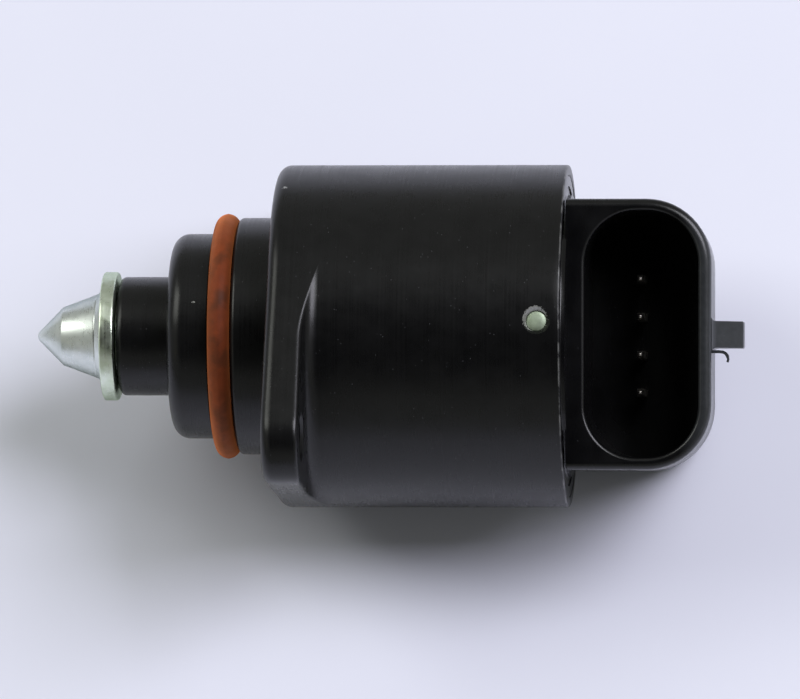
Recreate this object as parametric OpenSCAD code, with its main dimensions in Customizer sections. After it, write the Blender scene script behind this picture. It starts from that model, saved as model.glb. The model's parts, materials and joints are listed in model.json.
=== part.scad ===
// Idle air control valve. A stepper motor inside a flanged can turns a threaded
// hub, and the hub drives a pintle along the X axis. The mounting face of the
// flange is the plane X = 0, the pintle points to -X and the cable socket lies
// at +X. The valve rests on the lowest line of its can, on one flange ear and on
// one long edge of its socket.

/* [Can] */
// Outer diameter of the can
can_d = 36; // [35.5:0.5:40]
// Length of the can behind the mounting face
can_l = 30.5; // [29.5:0.5:36]
// Wall of the can round the motor
can_wall = 1.1; // [0.9:0.1:1.6]
// Round on the front edge of the can
can_edge_r = 1.3; // [0.6:0.1:2]

/* [Flange] */
// Thickness of the flange
flange_t = 3.9; // [3.5:0.1:5]
// Radius at the tip of each flange ear
ear_r = 4.9; // [4.4:0.1:6]
// Diameter of the circle through the two bolt holes
bolt_pcd = 44.4; // [43:0.2:48]
// Diameter of the bolt holes
bolt_hole_d = 4.6; // [4.2:0.1:5.4]
// Fillet between the flange and the can
fillet_r = 1.6; // [0.8:0.1:2.2]
// Round on the edges of the ears
ear_edge_r = 0.6; // [0.3:0.1:0.9]

/* [Spigot and nose] */
// Diameter of the spigot that enters the throttle body
spigot_d = 24.92; // [24:0.1:27]
// Length of the spigot
spigot_l = 4.25; // [3.5:0.05:6]
// Length of the step in front of the sealing ring
step_l = 4.45; // [3.6:0.05:6]
// Round on the front edge of the step
step_edge_r = 1.7; // [0.8:0.1:2.2]
// Outer diameter of the nose tube
nose_d = 12.5; // [12:0.1:13.6]
// Length of the nose tube
nose_l = 5.7; // [4.5:0.1:8]
// Round on the front edge of the nose tube
nose_edge_r = 0.7; // [0.3:0.1:0.9]

/* [Sealing rings] */
// Cord thickness of the flange ring
ring_cord = 2.4; // [1.8:0.1:2.8]
// How far the flange ring stands proud of the spigot
ring_proud = 0.44; // [0.3:0.02:0.7]
// How far the ring groove is sunk into the step
groove_lip = 0.3; // [0.2:0.05:0.6]
// Cord thickness of the ring that seals the motor cap
cap_seal_cord = 1.6; // [1.2:0.1:2]

/* [Pintle] */
// Length of the steep cone at the tip
tip_cone_l = 2.75; // [2:0.05:3.5]
// Length of the slim cone behind the tip
seat_cone_l = 3.55; // [2.5:0.05:5]
// Length of the land behind the cones
land_l = 0.9; // [0.5:0.1:2]
// Diameter of the land
land_d = 8.9; // [8.2:0.1:9.4]
// Diameter where the two cones meet
cone_mid_d = 6.2; // [5.4:0.1:7]
// Radius of the blunt tip
tip_r = 0.5; // [0.3:0.05:0.8]
// Diameter of the collar
collar_d = 13.54; // [12.8:0.02:14.6]
// Thickness of the collar
collar_t = 1.3; // [0.9:0.1:1.8]
// Diameter of the guide sleeve behind the collar
sleeve_d = 9.4; // [9.2:0.1:9.8]
// Wall of the guide sleeve
sleeve_wall = 0.8; // [0.6:0.05:0.85]
// Diameter of the pintle shank inside the collar
shank_d = 6; // [5.4:0.1:6]
// Full stroke of the pintle
stroke = 7; // [5:0.5:7.5]

/* [Lead screw] */
// Diameter of the lead screw
screw_d = 4; // [3.6:0.1:4.2]
// Distance across the two flats of the screw
flats_w = 3; // [2.6:0.1:3.2]
// Length of the guide bush that holds the flats
bush_l = 2.9; // [2.2:0.1:3.4]
// Diameter of the guide bush
bush_d = 10.8; // [10.4:0.1:11.6]

/* [Spring] */
// Wire thickness of the preload spring
wire_d = 0.5; // [0.3:0.05:0.5]
// Number of turns of the preload spring
spring_turns = 6; // [4:1:8]

/* [Ball bearing] */
// Outer diameter of the ball bearing
bearing_d = 16; // [15:0.5:17]
// Bore of the ball bearing
bearing_bore = 8; // [7.5:0.1:8.4]
// Width of the ball bearing
bearing_w = 4; // [3.6:0.1:5]
// Number of balls
ball_count = 9; // [7:1:10]
// Width of the ring that holds the bearing down
retainer_t = 1.1; // [0.8:0.1:1.6]

/* [Motor] */
// Outer diameter of the rotor magnet
magnet_d = 15; // [14:0.2:15.6]
// Air gap between magnet and stator claws
air_gap = 0.4; // [0.25:0.05:0.6]
// Sheet thickness of the stator yokes
yoke_t = 0.8; // [0.6:0.05:1]
// Number of claws on each yoke
claw_count = 6; // [4:1:8]
// Wall of the bobbins
bobbin_wall = 0.7; // [0.5:0.05:1]
// Height of the bobbin flanges above the winding
flange_rise = 1.1; // [0.5:0.1:2]

/* [Motor cap] */
// Thickness of the plug that closes the can
cap_t = 7.4; // [6.8:0.1:9]
// How far the plug sits below the rear edge of the can
cap_recess = 0.3; // [0.1:0.05:0.8]
// Width of the sunk ring between the raised disc and the can
disc_rim = 1.1; // [0.8:0.1:1.6]
// Height of the raised disc
disc_t = 0.6; // [0.4:0.1:1.2]
// Diameter of the retaining pins
pin_d = 2.14; // [1.8:0.02:2.4]
// Angle between the first retaining pin and the way the socket faces
pin_clock = 4; // [0:0.5:10]
// Distance of the retaining pins from the rear edge of the can
pin_inset = 2.4; // [2.2:0.05:2.6]

/* [Socket] */
// Angle between the ear line and the way the socket faces
socket_clock = 29.2; // [20:0.2:40]
// Length of the socket cavity along the valve
cavity_l = 11.8; // [11:0.1:14]
// Width of the socket cavity across the valve
cavity_w = 25.7; // [25:0.1:27]
// Corner radius of the socket cavity
cavity_r = 5.4; // [3.5:0.1:5.5]
// Side wall of the socket
socket_wall = 1.25; // [0.9:0.05:1.4]
// End wall of the socket
socket_end_wall = 1.4; // [1.2:0.1:2]
// Wall between the can and the socket cavity
socket_front_wall = 2; // [1.6:0.1:3]
// Height of the socket mouth above the valve axis
mouth_h = 11; // [9:0.5:14]
// Depth of the socket cavity
cavity_depth = 15; // [13:0.5:17]
// Round along the two long lower edges of the socket
base_side_r = 2; // [1:0.1:3]
// Width of the lock lug
lug_w = 2.8; // [2:0.1:4]
// Reach of the lock lug
lug_reach = 3.2; // [2:0.1:4]
// Height of the lock lug
lug_h = 6; // [4:0.5:8]

/* [Terminals] */
// Number of terminals
terminal_count = 4; // [4:1:4]
// Spacing of the terminals
terminal_pitch = 3.98; // [3.6:0.02:4.2]
// Thickness of the square terminals
terminal_t = 0.8; // [0.6:0.02:0.9]
// Height of the terminals above the socket floor
terminal_h = 7.5; // [5:0.5:9]
// Distance of the terminal row from the front wall of the socket
terminal_row = 5.4; // [4.8:0.1:6.6]

/* [Hidden] */

// Facets of turned surfaces
round_fn = 96;
// Facets of small round parts
small_fn = 32;
// Steps of a rounded edge in a turned outline
edge_steps = 6;
// Overshoot of a cut past the face that it opens
over = 1;

// Clearances
press_gap = 0.02;
slide_gap = 0.1;
wrap_gap = 0.05;
free_gap = 0.2;
stop_gap = 0.3;
sleeve_gap = 0.8;

// Radii of the turned housing
can_r = can_d / 2;
bore_r = can_r - can_wall;
spigot_r = spigot_d / 2;
ring_out_r = spigot_r + ring_proud;
groove_r = ring_out_r - ring_cord - press_gap;
step_r = groove_r + groove_lip;
nose_r = nose_d / 2;
sleeve_r = sleeve_d / 2;
nose_bore_r = sleeve_r + slide_gap;
groove_w = ring_cord + 2 * wrap_gap;
spigot_edge = 0.5;
flank_sink = 0.1;
fillet_sink = 0.05;

// Stations of the housing along X
groove_x1 = -spigot_l;
groove_x0 = groove_x1 - groove_w;
step_x = groove_x0 - step_l;
nose_x = step_x - nose_l;

// Stations of the motor along X
skin_t = 0.3;
floor_x = flange_t - skin_t;
cap_x1 = can_l - cap_recess;
cap_x0 = cap_x1 - cap_t;
stack_l = (cap_x0 - floor_x) / 2;
mid_x = floor_x + stack_l;
bearing_x1 = floor_x - retainer_t;
bearing_x0 = bearing_x1 - bearing_w;
relief_t = 0.5;
bush_x1 = bearing_x0 - relief_t;
bush_x0 = bush_x1 - bush_l;

// Ball bearing
bearing_r = bearing_d / 2;
journal_r = bearing_bore / 2;
race_share = 0.3;
track_depth = 0.35;
race_t = (bearing_r - journal_r) * race_share;
ball_pitch_r = (bearing_r + journal_r) / 2;
ball_r = (bearing_r - journal_r) / 2 - race_t + track_depth;
race_gap = 0.06;
ball_x = (bearing_x0 + bearing_x1) / 2;
cage_rim = 0.45;
cage_w = 2 * (ball_r + cage_rim);
cage_t = 0.9;

// Rotor
magnet_r = magnet_d / 2;
hub_shoulder = 0.9;
hub_flange_h = 1.5;
hub_r = journal_r + hub_shoulder;
hub_flange_r = hub_r + hub_flange_h;
hub_flange_t = 0.8;
hub_flange_x = floor_x + yoke_t + free_gap;
magnet_x0 = hub_flange_x + hub_flange_t;
bush_flange_t = 0.6;
washer_h = 0.65;
washer_t = 0.3;
rotor_x1 = cap_x0 - bush_flange_t - washer_h - wrap_gap;
hub_nose_gap = 0.6;
hub_x0 = bearing_x0 + hub_nose_gap;
hub_tail_step = 1;
hub_tail_r = journal_r - hub_tail_step;
hub_tail_l = 3.4;
hub_x1 = cap_x0 + hub_tail_l - bush_flange_t;
nut_set_back = 4;
nut_x0 = floor_x + yoke_t + nut_set_back;
nut_l = 7;
screw_r = screw_d / 2;
screw_play = 0.4;
hub_bore_r = screw_r + screw_play;

// Rear bush
rear_bush_wall = 1.4;
rear_bush_collar = 1.3;
rear_bush_r = hub_tail_r + rear_bush_wall;
rear_bush_flange_r = rear_bush_r + rear_bush_collar;
rear_bush_l = 3.2;
pocket_depth = rear_bush_l + free_gap;

// Stator
claw_r0 = magnet_r + air_gap;
claw_r1 = claw_r0 + yoke_t;
claw_pitch = PI * (claw_r0 + claw_r1) / (2 * claw_count);
claw_root_share = 1.05;
claw_tip_share = 0.5;
claw_root_w = claw_root_share * claw_pitch;
claw_tip_w = claw_tip_share * claw_pitch;
stator_r = bore_r - wrap_gap;
shell_r = stator_r - yoke_t;
phase_angle = 90 / claw_count;
bobbin_r0 = claw_r1 + free_gap;
bobbin_r1 = bobbin_r0 + bobbin_wall;
bobbin_r2 = shell_r - free_gap / 2;
coil_r = bobbin_r2 - flange_rise;

// Terminals
block_t = 2.8;
block_rim = 0.3;
block_margin = 1.2;
terminal_level = bobbin_r0 + block_rim + block_t / 2;
socket_gap = 0.2;
socket_x0 = can_l + socket_gap;
terminal_x = socket_x0 + socket_front_wall + terminal_row;
terminal_end_taper = 1;
terminal_tip_t = 0.35;
block_w = terminal_pitch * (terminal_count - 1) + 2 * block_margin;
block_l = 1.8;

// Pintle and lead screw
collar_x1 = nose_x - stop_gap;
collar_x0 = collar_x1 - collar_t;
land_x = collar_x0 - land_l;
cone_mid_x = land_x - seat_cone_l;
tip_x = cone_mid_x - tip_cone_l;
web_t = 1;
web_x1 = collar_x1 + web_t;
shank_l = 1.2;
shank_x1 = web_x1 + shank_l;
shank_r = shank_d / 2;
sleeve_x1 = bush_x0 - sleeve_gap;
screw_grip = 1;
screw_set_back = 1.6;
flats_run_in = 2;
flats_run_out = 1.2;
screw_x0 = cone_mid_x + screw_grip;
screw_x1 = hub_x1 - screw_set_back;
flats_x0 = bush_x0 - flats_run_in;
flats_x1 = bush_x1 + stroke + flats_run_out;
land_step = 0.05;

// Preload spring
spring_play = 0.15;
spring_r = sleeve_r - sleeve_wall - wire_d / 2 - spring_play;
spring_x0 = web_x1 + wire_d / 2 + free_gap + wrap_gap;
spring_x1 = bush_x0 - wire_d / 2 - wrap_gap;
wire_sides = 8;
turn_steps = 16;

// Motor cap
cap_r = bore_r - wrap_gap;
disc_r = bore_r - disc_rim;
seal_groove_r = bore_r - cap_seal_cord;
seal_set_back = 2;
seal_x = cap_x0 + seal_set_back + cap_seal_cord / 2;
pin_r = pin_d / 2;
pin_x = can_l - pin_inset;
pin_sink = 0.4;
pin_grip = 2.6;
pin_count = 3;
pin_chamfer = 0.36;

// Socket
cavity_x0 = socket_x0 + socket_front_wall;
cavity_x1 = cavity_x0 + cavity_l;
socket_x1 = cavity_x1 + socket_end_wall;
socket_w = cavity_w + 2 * socket_wall;
socket_r = cavity_r + socket_end_wall;
socket_floor = mouth_h - cavity_depth;
base_edge_r = 3;
weld = 0.1;
lug_drop = 0.8;
lug_ramp = 3;
mouth_chamfer = 0.4;

// Turns about X that lay the far ear flank on the table
ear_turn = asin((can_r - ear_r) / (bolt_pcd / 2));
socket_turn = 90 - ear_turn - socket_clock;

// Depth of the socket below the axis at which one of its long edges reaches the table
edge_drop = (socket_w / 2 - base_side_r) * sin(socket_turn) + base_side_r;
base_depth = (can_r - edge_drop) / cos(socket_turn) + base_side_r;

black = "#1b1b1d";
zinc = "#b9bf9f";
steel = "#a8abb0";
brass = "#b99b55";
copper = "#b06a3c";
rubber = "#b4552d";

// Points of an arc about (cr, cx) in a turned outline
function arc(cr, cx, r, a0, a1) =
    [for (i = [0 : edge_steps]) let (a = a0 + (a1 - a0) * i / edge_steps) [cr + r * cos(a), cx + r * sin(a)]];

// A turned solid from an outline of [radius, x] points
module turned(outline, fn = round_fn) {
    rotate([0, 90, 0])
        rotate_extrude($fn = fn)
            polygon(outline);
}

// A turned ring between two radii and two stations
module ring(r0, r1, x0, x1) {
    turned([[r0, x0], [r1, x0], [r1, x1], [r0, x1]]);
}

// A round rod along X
module rod(r, x0, x1, fn = round_fn) {
    translate([x0, 0, 0])
        rotate([0, 90, 0])
            cylinder(r = r, h = x1 - x0, $fn = fn);
}

// A flat outline in Y and Z, drawn out along X
module plate(x0, x1) {
    translate([x0, 0, 0])
        rotate([90, 0, 90])
            linear_extrude(x1 - x0)
                children();
}

// An outline of [x, height] points, drawn out across the valve
module side_profile(w, outline) {
    rotate([90, 0, 0])
        linear_extrude(w, center = true)
            polygon(outline);
}

// Children turned so that their +Z is the way the socket faces
module facing() {
    rotate([socket_turn, 0, 0])
        children();
}

// Outline of the two flange ears, inset from their true edge, with the ears along Y
module ear_outline(inset = 0) {
    reach = bolt_pcd / 2;
    tip = ear_r - inset;
    root = can_r - flank_sink - inset;
    lean = asin((root - tip) / reach);
    for (side = [-1, 1]) {
        translate([side * reach, 0])
            circle(r = tip, $fn = small_fn * 2);
        polygon([
            [0, root * cos(lean)],
            [side * root * sin(lean), root * cos(lean)],
            [side * (reach + tip * sin(lean)), tip * cos(lean)],
            [side * (reach + tip * sin(lean)), -tip * cos(lean)],
            [side * root * sin(lean), -root * cos(lean)],
            [0, -root * cos(lean)]
        ]);
    }
}

// Ears of the flange, with their edges broken in two steps
module flange_ears() {
    rotate([-ear_turn, 0, 0]) {
        plate(0, flange_t)
            ear_outline(ear_edge_r);
        plate(ear_edge_r / 3, flange_t - ear_edge_r / 3)
            ear_outline(ear_edge_r / 3);
        plate(ear_edge_r, flange_t - ear_edge_r)
            ear_outline(0);
    }
}

// Concave fillet round the can, kept to the outline of the ears
module flange_fillet() {
    root_r = can_r - fillet_sink;
    root_x = flange_t - fillet_sink;
    hollow = arc(root_r + fillet_r, root_x + fillet_r, fillet_r, 270, 180);
    intersection() {
        turned(concat(
            [[can_r - over, flange_t - over], [root_r + fillet_r, flange_t - over]],
            hollow,
            [[can_r - over, root_x + fillet_r]]
        ));
        rotate([-ear_turn, 0, 0])
            plate(flange_t - 2 * over, flange_t + fillet_r + over)
                ear_outline(ear_edge_r / 2);
    }
}

// Outer form of the nose, the step, the spigot and the can
module turned_body() {
    turned(concat(
        [[0, nose_x]],
        arc(nose_r - nose_edge_r, nose_x + nose_edge_r, nose_edge_r, -90, 0),
        [[nose_r, step_x]],
        arc(step_r - step_edge_r, step_x + step_edge_r, step_edge_r, -90, 0),
        [[step_r, groove_x0], [groove_r, groove_x0], [groove_r, groove_x1]],
        [[spigot_r - spigot_edge, groove_x1], [spigot_r, groove_x1 + spigot_edge], [spigot_r, 0]],
        arc(can_r - can_edge_r, can_edge_r, can_edge_r, -90, 0),
        [[can_r, can_l], [0, can_l]]
    ));
}

// Stepped bore for the pintle, the guide bush, the bearing and the motor
module stepped_bore() {
    turned([
        [0, nose_x - over],
        [nose_bore_r, nose_x - over],
        [nose_bore_r, bush_x0],
        [bush_d / 2 + press_gap, bush_x0],
        [bush_d / 2 + press_gap, bush_x1],
        [ball_pitch_r + cage_t, bush_x1],
        [ball_pitch_r + cage_t, bearing_x0],
        [bearing_r + press_gap, bearing_x0],
        [bearing_r + press_gap, floor_x],
        [bore_r, floor_x],
        [bore_r, can_l + over],
        [0, can_l + over]
    ]);
}

// Countersunk holes for the retaining pins
module pin_holes() {
    for (i = [0 : pin_count - 1])
        rotate([i * 360 / pin_count - pin_clock, 0, 0])
            translate([pin_x, 0, 0]) {
                translate([0, 0, bore_r - over])
                    cylinder(r = pin_r + press_gap, h = can_wall + 2 * over, $fn = small_fn);
                translate([0, 0, can_r - pin_chamfer])
                    cylinder(r1 = pin_r + press_gap, r2 = pin_r + 2 * pin_chamfer,
                        h = 2 * pin_chamfer, $fn = small_fn);
            }
}

module bolt_holes() {
    rotate([-ear_turn, 0, 0])
        for (side = [-1, 1])
            translate([0, side * bolt_pcd / 2, 0])
                rod(bolt_hole_d / 2, -over, flange_t + fillet_r + over, small_fn);
}

module housing() {
    color(black)
        difference() {
            union() {
                turned_body();
                flange_ears();
                flange_fillet();
            }
            stepped_bore();
            bolt_holes();
            facing()
                pin_holes();
        }
}

// A sealing ring of round cord about the valve axis
module cord_ring(mean_r, cord_r, x) {
    translate([x, 0, 0])
        rotate([0, 90, 0])
            rotate_extrude($fn = round_fn)
                translate([mean_r, 0])
                    circle(r = cord_r, $fn = small_fn);
}

module flange_ring() {
    color(rubber)
        cord_ring(groove_r + press_gap + ring_cord / 2, ring_cord / 2, (groove_x0 + groove_x1) / 2);
}

module cap_seal() {
    color(rubber)
        cord_ring(seal_groove_r + cap_seal_cord / 2, cap_seal_cord / 2 - press_gap, seal_x);
}

module retaining_pin(i) {
    color(zinc)
        facing()
            rotate([i * 360 / pin_count - pin_clock, 0, 0])
                translate([pin_x, 0, cap_r - pin_grip])
                    cylinder(r = pin_r, h = can_r - pin_sink - cap_r + pin_grip, $fn = small_fn);
}

// Rectangle with rounded corners, its left edge on the Y axis
module round_box(l, w, r) {
    translate([r, -w / 2])
        square([l - 2 * r, w]);
    translate([0, r - w / 2])
        square([l, w - 2 * r]);
    for (x = [r, l - r], side = [-1, 1])
        translate([x, side * (w / 2 - r)])
            circle(r = r, $fn = small_fn * 2);
}

// Socket outline: square at the can and round at the far end
module socket_outline() {
    l = socket_x1 - socket_x0;
    translate([0, -socket_w / 2])
        square([l - socket_r, socket_w]);
    round_box(l, socket_w, socket_r);
}

// Plug that closes the can, with its seal groove, disc and bush pocket
module cap_plug() {
    seal_half = cap_seal_cord / 2 + wrap_gap;
    bush_hole_r = rear_bush_r + press_gap;
    turned([
        [bush_hole_r, cap_x0],
        [cap_r, cap_x0],
        [cap_r, seal_x - seal_half],
        [seal_groove_r, seal_x - seal_half],
        [seal_groove_r, seal_x + seal_half],
        [cap_r, seal_x + seal_half],
        [cap_r, cap_x1 - disc_t],
        [disc_r, cap_x1 - disc_t],
        [disc_r, cap_x1],
        [0, cap_x1],
        [0, cap_x0 + pocket_depth],
        [bush_hole_r, cap_x0 + pocket_depth]
    ]);
}

// Cross-section of the socket, with its lower edges rounded
module socket_section() {
    half = socket_w / 2;
    inner = half - base_side_r;
    translate([-half, base_side_r - base_depth])
        square([socket_w, mouth_h + base_depth - base_side_r + over]);
    translate([-inner, -base_depth])
        square([2 * inner, base_side_r + over]);
    for (side = [-1, 1])
        translate([side * inner, base_side_r - base_depth])
            circle(r = base_side_r, $fn = small_fn);
}

// Solid form of the socket, from its plan, its side outline and its cross-section
module socket_block() {
    low = -base_depth;
    edge = base_edge_r;
    intersection() {
        plate(socket_x0 - over, socket_x1 + over)
            socket_section();
        translate([socket_x0, 0, low])
            linear_extrude(mouth_h + base_depth)
                socket_outline();
        side_profile(socket_w + over, concat(
            [[socket_x0, mouth_h], [socket_x0, low]],
            arc(socket_x1 - edge, low + edge, edge, 270, 360),
            [[socket_x1, mouth_h - mouth_chamfer], [socket_x1 - mouth_chamfer, mouth_h]]
        ));
    }
}

// Ramp that the plug latch snaps over
module lock_lug() {
    top = mouth_h - lug_drop;
    side_profile(lug_w, [
        [socket_x1 - over, top],
        [socket_x1, top],
        [socket_x1 + lug_reach, top - lug_ramp],
        [socket_x1 + lug_reach, top - lug_h],
        [socket_x1 - over, top - lug_h]
    ]);
}

// Room for one terminal, with a clearance on every side
module terminal_channel(i) {
    t = terminal_t + 2 * press_gap;
    y = (i - (terminal_count - 1) / 2) * terminal_pitch;
    translate([cap_x0, y - t / 2, -terminal_level - t / 2])
        cube([terminal_x - cap_x0 + t / 2, t, t]);
    translate([terminal_x - t / 2, y - t / 2, -terminal_level - t / 2])
        cube([t, t, terminal_level + socket_floor + over]);
}

module connector_housing() {
    color(black)
        difference() {
            union() {
                cap_plug();
                facing()
                    socket_block();
                rod(disc_r - over, cap_x1 - disc_t, socket_x0 + weld);
                facing()
                    lock_lug();
            }
            facing() {
                translate([cavity_x0, 0, socket_floor])
                    linear_extrude(cavity_depth + over)
                        round_box(cavity_l, cavity_w, cavity_r);
                block_window(cap_x0 - over, cap_x0 + block_l + free_gap);
                for (i = [0 : terminal_count - 1])
                    terminal_channel(i);
                for (i = [0 : pin_count - 1])
                    rotate([i * 360 / pin_count - pin_clock, 0, 0])
                        translate([pin_x, 0, cap_r - pin_grip - press_gap])
                            cylinder(r = pin_r + press_gap, h = pin_grip + over, $fn = small_fn);
            }
        }
}

// Bent square terminal with a tapered tip, from the bobbin to the socket
module terminal(i) {
    t = terminal_t;
    y = (i - (terminal_count - 1) / 2) * terminal_pitch;
    low = -terminal_level - t / 2;
    high = socket_floor + terminal_h;
    shoulder = high - terminal_end_taper;
    tip = terminal_tip_t / 2;
    color(steel)
        facing()
            translate([0, y, 0]) {
                translate([cap_x0 + block_l, -t / 2, low])
                    cube([terminal_x - cap_x0 - block_l, t, t]);
                intersection() {
                    side_profile(t, [
                        [terminal_x - t / 2, low], [terminal_x + t / 2, low],
                        [terminal_x + t / 2, shoulder], [terminal_x + tip, high],
                        [terminal_x - tip, high], [terminal_x - t / 2, shoulder]
                    ]);
                    plate(terminal_x - t, terminal_x + t)
                        polygon([
                            [-t / 2, low], [t / 2, low], [t / 2, shoulder],
                            [tip, high], [-tip, high], [-t / 2, shoulder]
                        ]);
                }
            }
}

module pintle() {
    blunt = arc(0, tip_x + tip_r, tip_r, -90, -45);
    color("#c9cbd0")
        turned(concat(
            blunt,
            [
                [cone_mid_d / 2, cone_mid_x],
                [land_d / 2 - land_step, land_x],
                [land_d / 2, land_x],
                [land_d / 2, collar_x0],
                [shank_r, collar_x0],
                [shank_r, shank_x1],
                [screw_r + press_gap, shank_x1],
                [screw_r + press_gap, screw_x0],
                [0, screw_x0]
            ]
        ));
}

// Flanged guide sleeve that is pressed on the pintle shank
module pintle_collar() {
    edge = 0.2;
    color(zinc)
        turned([
            [shank_r + press_gap, collar_x0],
            [collar_d / 2 - edge, collar_x0],
            [collar_d / 2, collar_x0 + edge],
            [collar_d / 2, collar_x1 - edge],
            [collar_d / 2 - edge, collar_x1],
            [sleeve_r, collar_x1],
            [sleeve_r, sleeve_x1],
            [sleeve_r - sleeve_wall, sleeve_x1],
            [sleeve_r - sleeve_wall, web_x1],
            [shank_r + press_gap, web_x1]
        ]);
}

// Screw with two flats where it slides through the guide bush
module lead_screw() {
    color(steel)
        difference() {
            rod(screw_r, screw_x0, screw_x1, small_fn);
            for (side = [-1, 1])
                translate([flats_x0, -screw_d, side * (flats_w / 2 + screw_r) - screw_r])
                    cube([flats_x1 - flats_x0, 2 * screw_d, screw_d]);
        }
}

// Points round the wire at each step of the coil
function coil_points() =
    [for (k = [0 : spring_turns * turn_steps], j = [0 : wire_sides - 1])
        let (
            a = 360 * k / turn_steps,
            b = 360 * j / wire_sides,
            r = spring_r + wire_d / 2 * cos(b),
            x = spring_x0 + (spring_x1 - spring_x0) * k / (spring_turns * turn_steps) + wire_d / 2 * sin(b)
        )
        [x, r * sin(a), r * cos(a)]];

// Faces between the steps of the coil and across its two ends
function coil_faces() =
    let (last = spring_turns * turn_steps)
    concat(
        [for (k = [0 : last - 1], j = [0 : wire_sides - 1])
            let (n = (j + 1) % wire_sides)
            [k * wire_sides + j, (k + 1) * wire_sides + j, (k + 1) * wire_sides + n, k * wire_sides + n]],
        [[for (j = [0 : wire_sides - 1]) j]],
        [[for (j = [wire_sides - 1 : -1 : 0]) last * wire_sides + j]]
    );

module preload_spring() {
    color(steel)
        polyhedron(coil_points(), coil_faces(), convexity = 10);
}

module guide_bush() {
    color(brass)
        difference() {
            rod(bush_d / 2, bush_x0, bush_x1);
            intersection() {
                rod(screw_r + slide_gap / 2, bush_x0 - over, bush_x1 + over, small_fn);
                translate([bush_x0 - over, -screw_d, -flats_w / 2 - slide_gap / 2])
                    cube([bush_l + 2 * over, 2 * screw_d, flats_w + slide_gap]);
            }
        }
}

// Track that the balls run in
module ball_track() {
    translate([ball_x, 0, 0])
        rotate([0, 90, 0])
            rotate_extrude($fn = round_fn)
                translate([ball_pitch_r, 0])
                    circle(r = ball_r + race_gap, $fn = small_fn);
}

module bearing_outer_ring() {
    color(steel)
        difference() {
            ring(bearing_r - race_t, bearing_r, bearing_x0, bearing_x1);
            ball_track();
        }
}

module bearing_inner_ring() {
    color(steel)
        difference() {
            ring(journal_r + press_gap, journal_r + race_t, bearing_x0, bearing_x1);
            ball_track();
        }
}

module ball_set(r) {
    for (i = [0 : ball_count - 1])
        rotate([i * 360 / ball_count, 0, 0])
            translate([ball_x, 0, ball_pitch_r])
                sphere(r = r, $fn = small_fn);
}

module bearing_balls() {
    color("silver")
        ball_set(ball_r);
}

module bearing_cage() {
    color(brass)
        difference() {
            ring(ball_pitch_r - cage_t / 2, ball_pitch_r + cage_t / 2,
                ball_x - cage_w / 2, ball_x + cage_w / 2);
            ball_set(ball_r + race_gap);
        }
}

module bearing_retainer() {
    color(steel)
        ring(bearing_r - race_t + free_gap, bearing_r, bearing_x1, floor_x);
}

module rotor_hub() {
    color("#d8d2bf")
        turned([
            [hub_bore_r, hub_x0],
            [journal_r, hub_x0],
            [journal_r, bearing_x1],
            [hub_r, bearing_x1],
            [hub_r, hub_flange_x],
            [hub_flange_r, hub_flange_x],
            [hub_flange_r, magnet_x0],
            [hub_r, magnet_x0],
            [hub_r, rotor_x1],
            [hub_tail_r, rotor_x1],
            [hub_tail_r, hub_x1],
            [hub_bore_r, hub_x1],
            [hub_bore_r, nut_x0 + nut_l],
            [screw_r + wrap_gap, nut_x0 + nut_l],
            [screw_r + wrap_gap, nut_x0],
            [hub_bore_r, nut_x0]
        ]);
}

module rotor_magnet() {
    color("#4a4b50")
        ring(hub_r + wrap_gap, magnet_r, magnet_x0, rotor_x1 - free_gap);
}

module rear_bush() {
    color(brass)
        turned([
            [hub_tail_r + wrap_gap, cap_x0 - bush_flange_t],
            [rear_bush_flange_r, cap_x0 - bush_flange_t],
            [rear_bush_flange_r, cap_x0],
            [rear_bush_r, cap_x0],
            [rear_bush_r, cap_x0 + rear_bush_l],
            [hub_tail_r + wrap_gap, cap_x0 + rear_bush_l]
        ]);
}

// Dished spring washer between the rotor and the rear bush
module preload_washer() {
    x1 = cap_x0 - bush_flange_t;
    color(steel)
        turned([
            [hub_tail_r + free_gap, x1 - washer_h],
            [hub_tail_r + free_gap, x1 - washer_h + washer_t],
            [hub_r, x1],
            [hub_r, x1 - washer_t]
        ]);
}

// One tapered claw that rises from a yoke plate
module claw(x0, x1) {
    low = min(x0, x1);
    high = max(x0, x1);
    intersection() {
        ring(claw_r0, claw_r1, low, high);
        linear_extrude(claw_r1 + over)
            polygon([
                [x0, -claw_root_w / 2], [x0, claw_root_w / 2],
                [x1, claw_tip_w / 2], [x1, -claw_tip_w / 2]
            ]);
    }
}

// Yoke with its plate at x0 and its claws towards dir; a cup yoke has a shell
module yoke(x0, dir, cup) {
    plate_x = x0 + dir * yoke_t;
    tip_x = x0 + dir * (stack_l - yoke_t - free_gap);
    rim_x = x0 + dir * stack_l;
    plate_r = shell_r - wrap_gap;
    turned(cup
        ? [[claw_r0, x0], [stator_r, x0], [stator_r, rim_x], [shell_r, rim_x],
            [shell_r, plate_x], [claw_r0, plate_x]]
        : [[claw_r0, x0], [plate_r, x0], [plate_r, plate_x], [claw_r0, plate_x]]);
    for (i = [0 : claw_count - 1])
        rotate([i * 360 / claw_count, 0, 0])
            claw(x0, tip_x);
}

// Opening for the terminal block, from x0 to x1
module block_window(x0, x1) {
    w = block_w + 2 * slide_gap;
    h = block_t + 2 * slide_gap;
    translate([x0, -w / 2, -terminal_level - h / 2])
        cube([x1 - x0, w, h]);
}

module yoke_1() {
    color("#8d9094")
        yoke(floor_x, 1, true);
}

module yoke_2() {
    color("#9a9da1")
        rotate([180 / claw_count, 0, 0])
            yoke(mid_x, -1, false);
}

module yoke_3() {
    color("#9a9da1")
        rotate([180 / claw_count + phase_angle, 0, 0])
            yoke(mid_x, 1, false);
}

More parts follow.
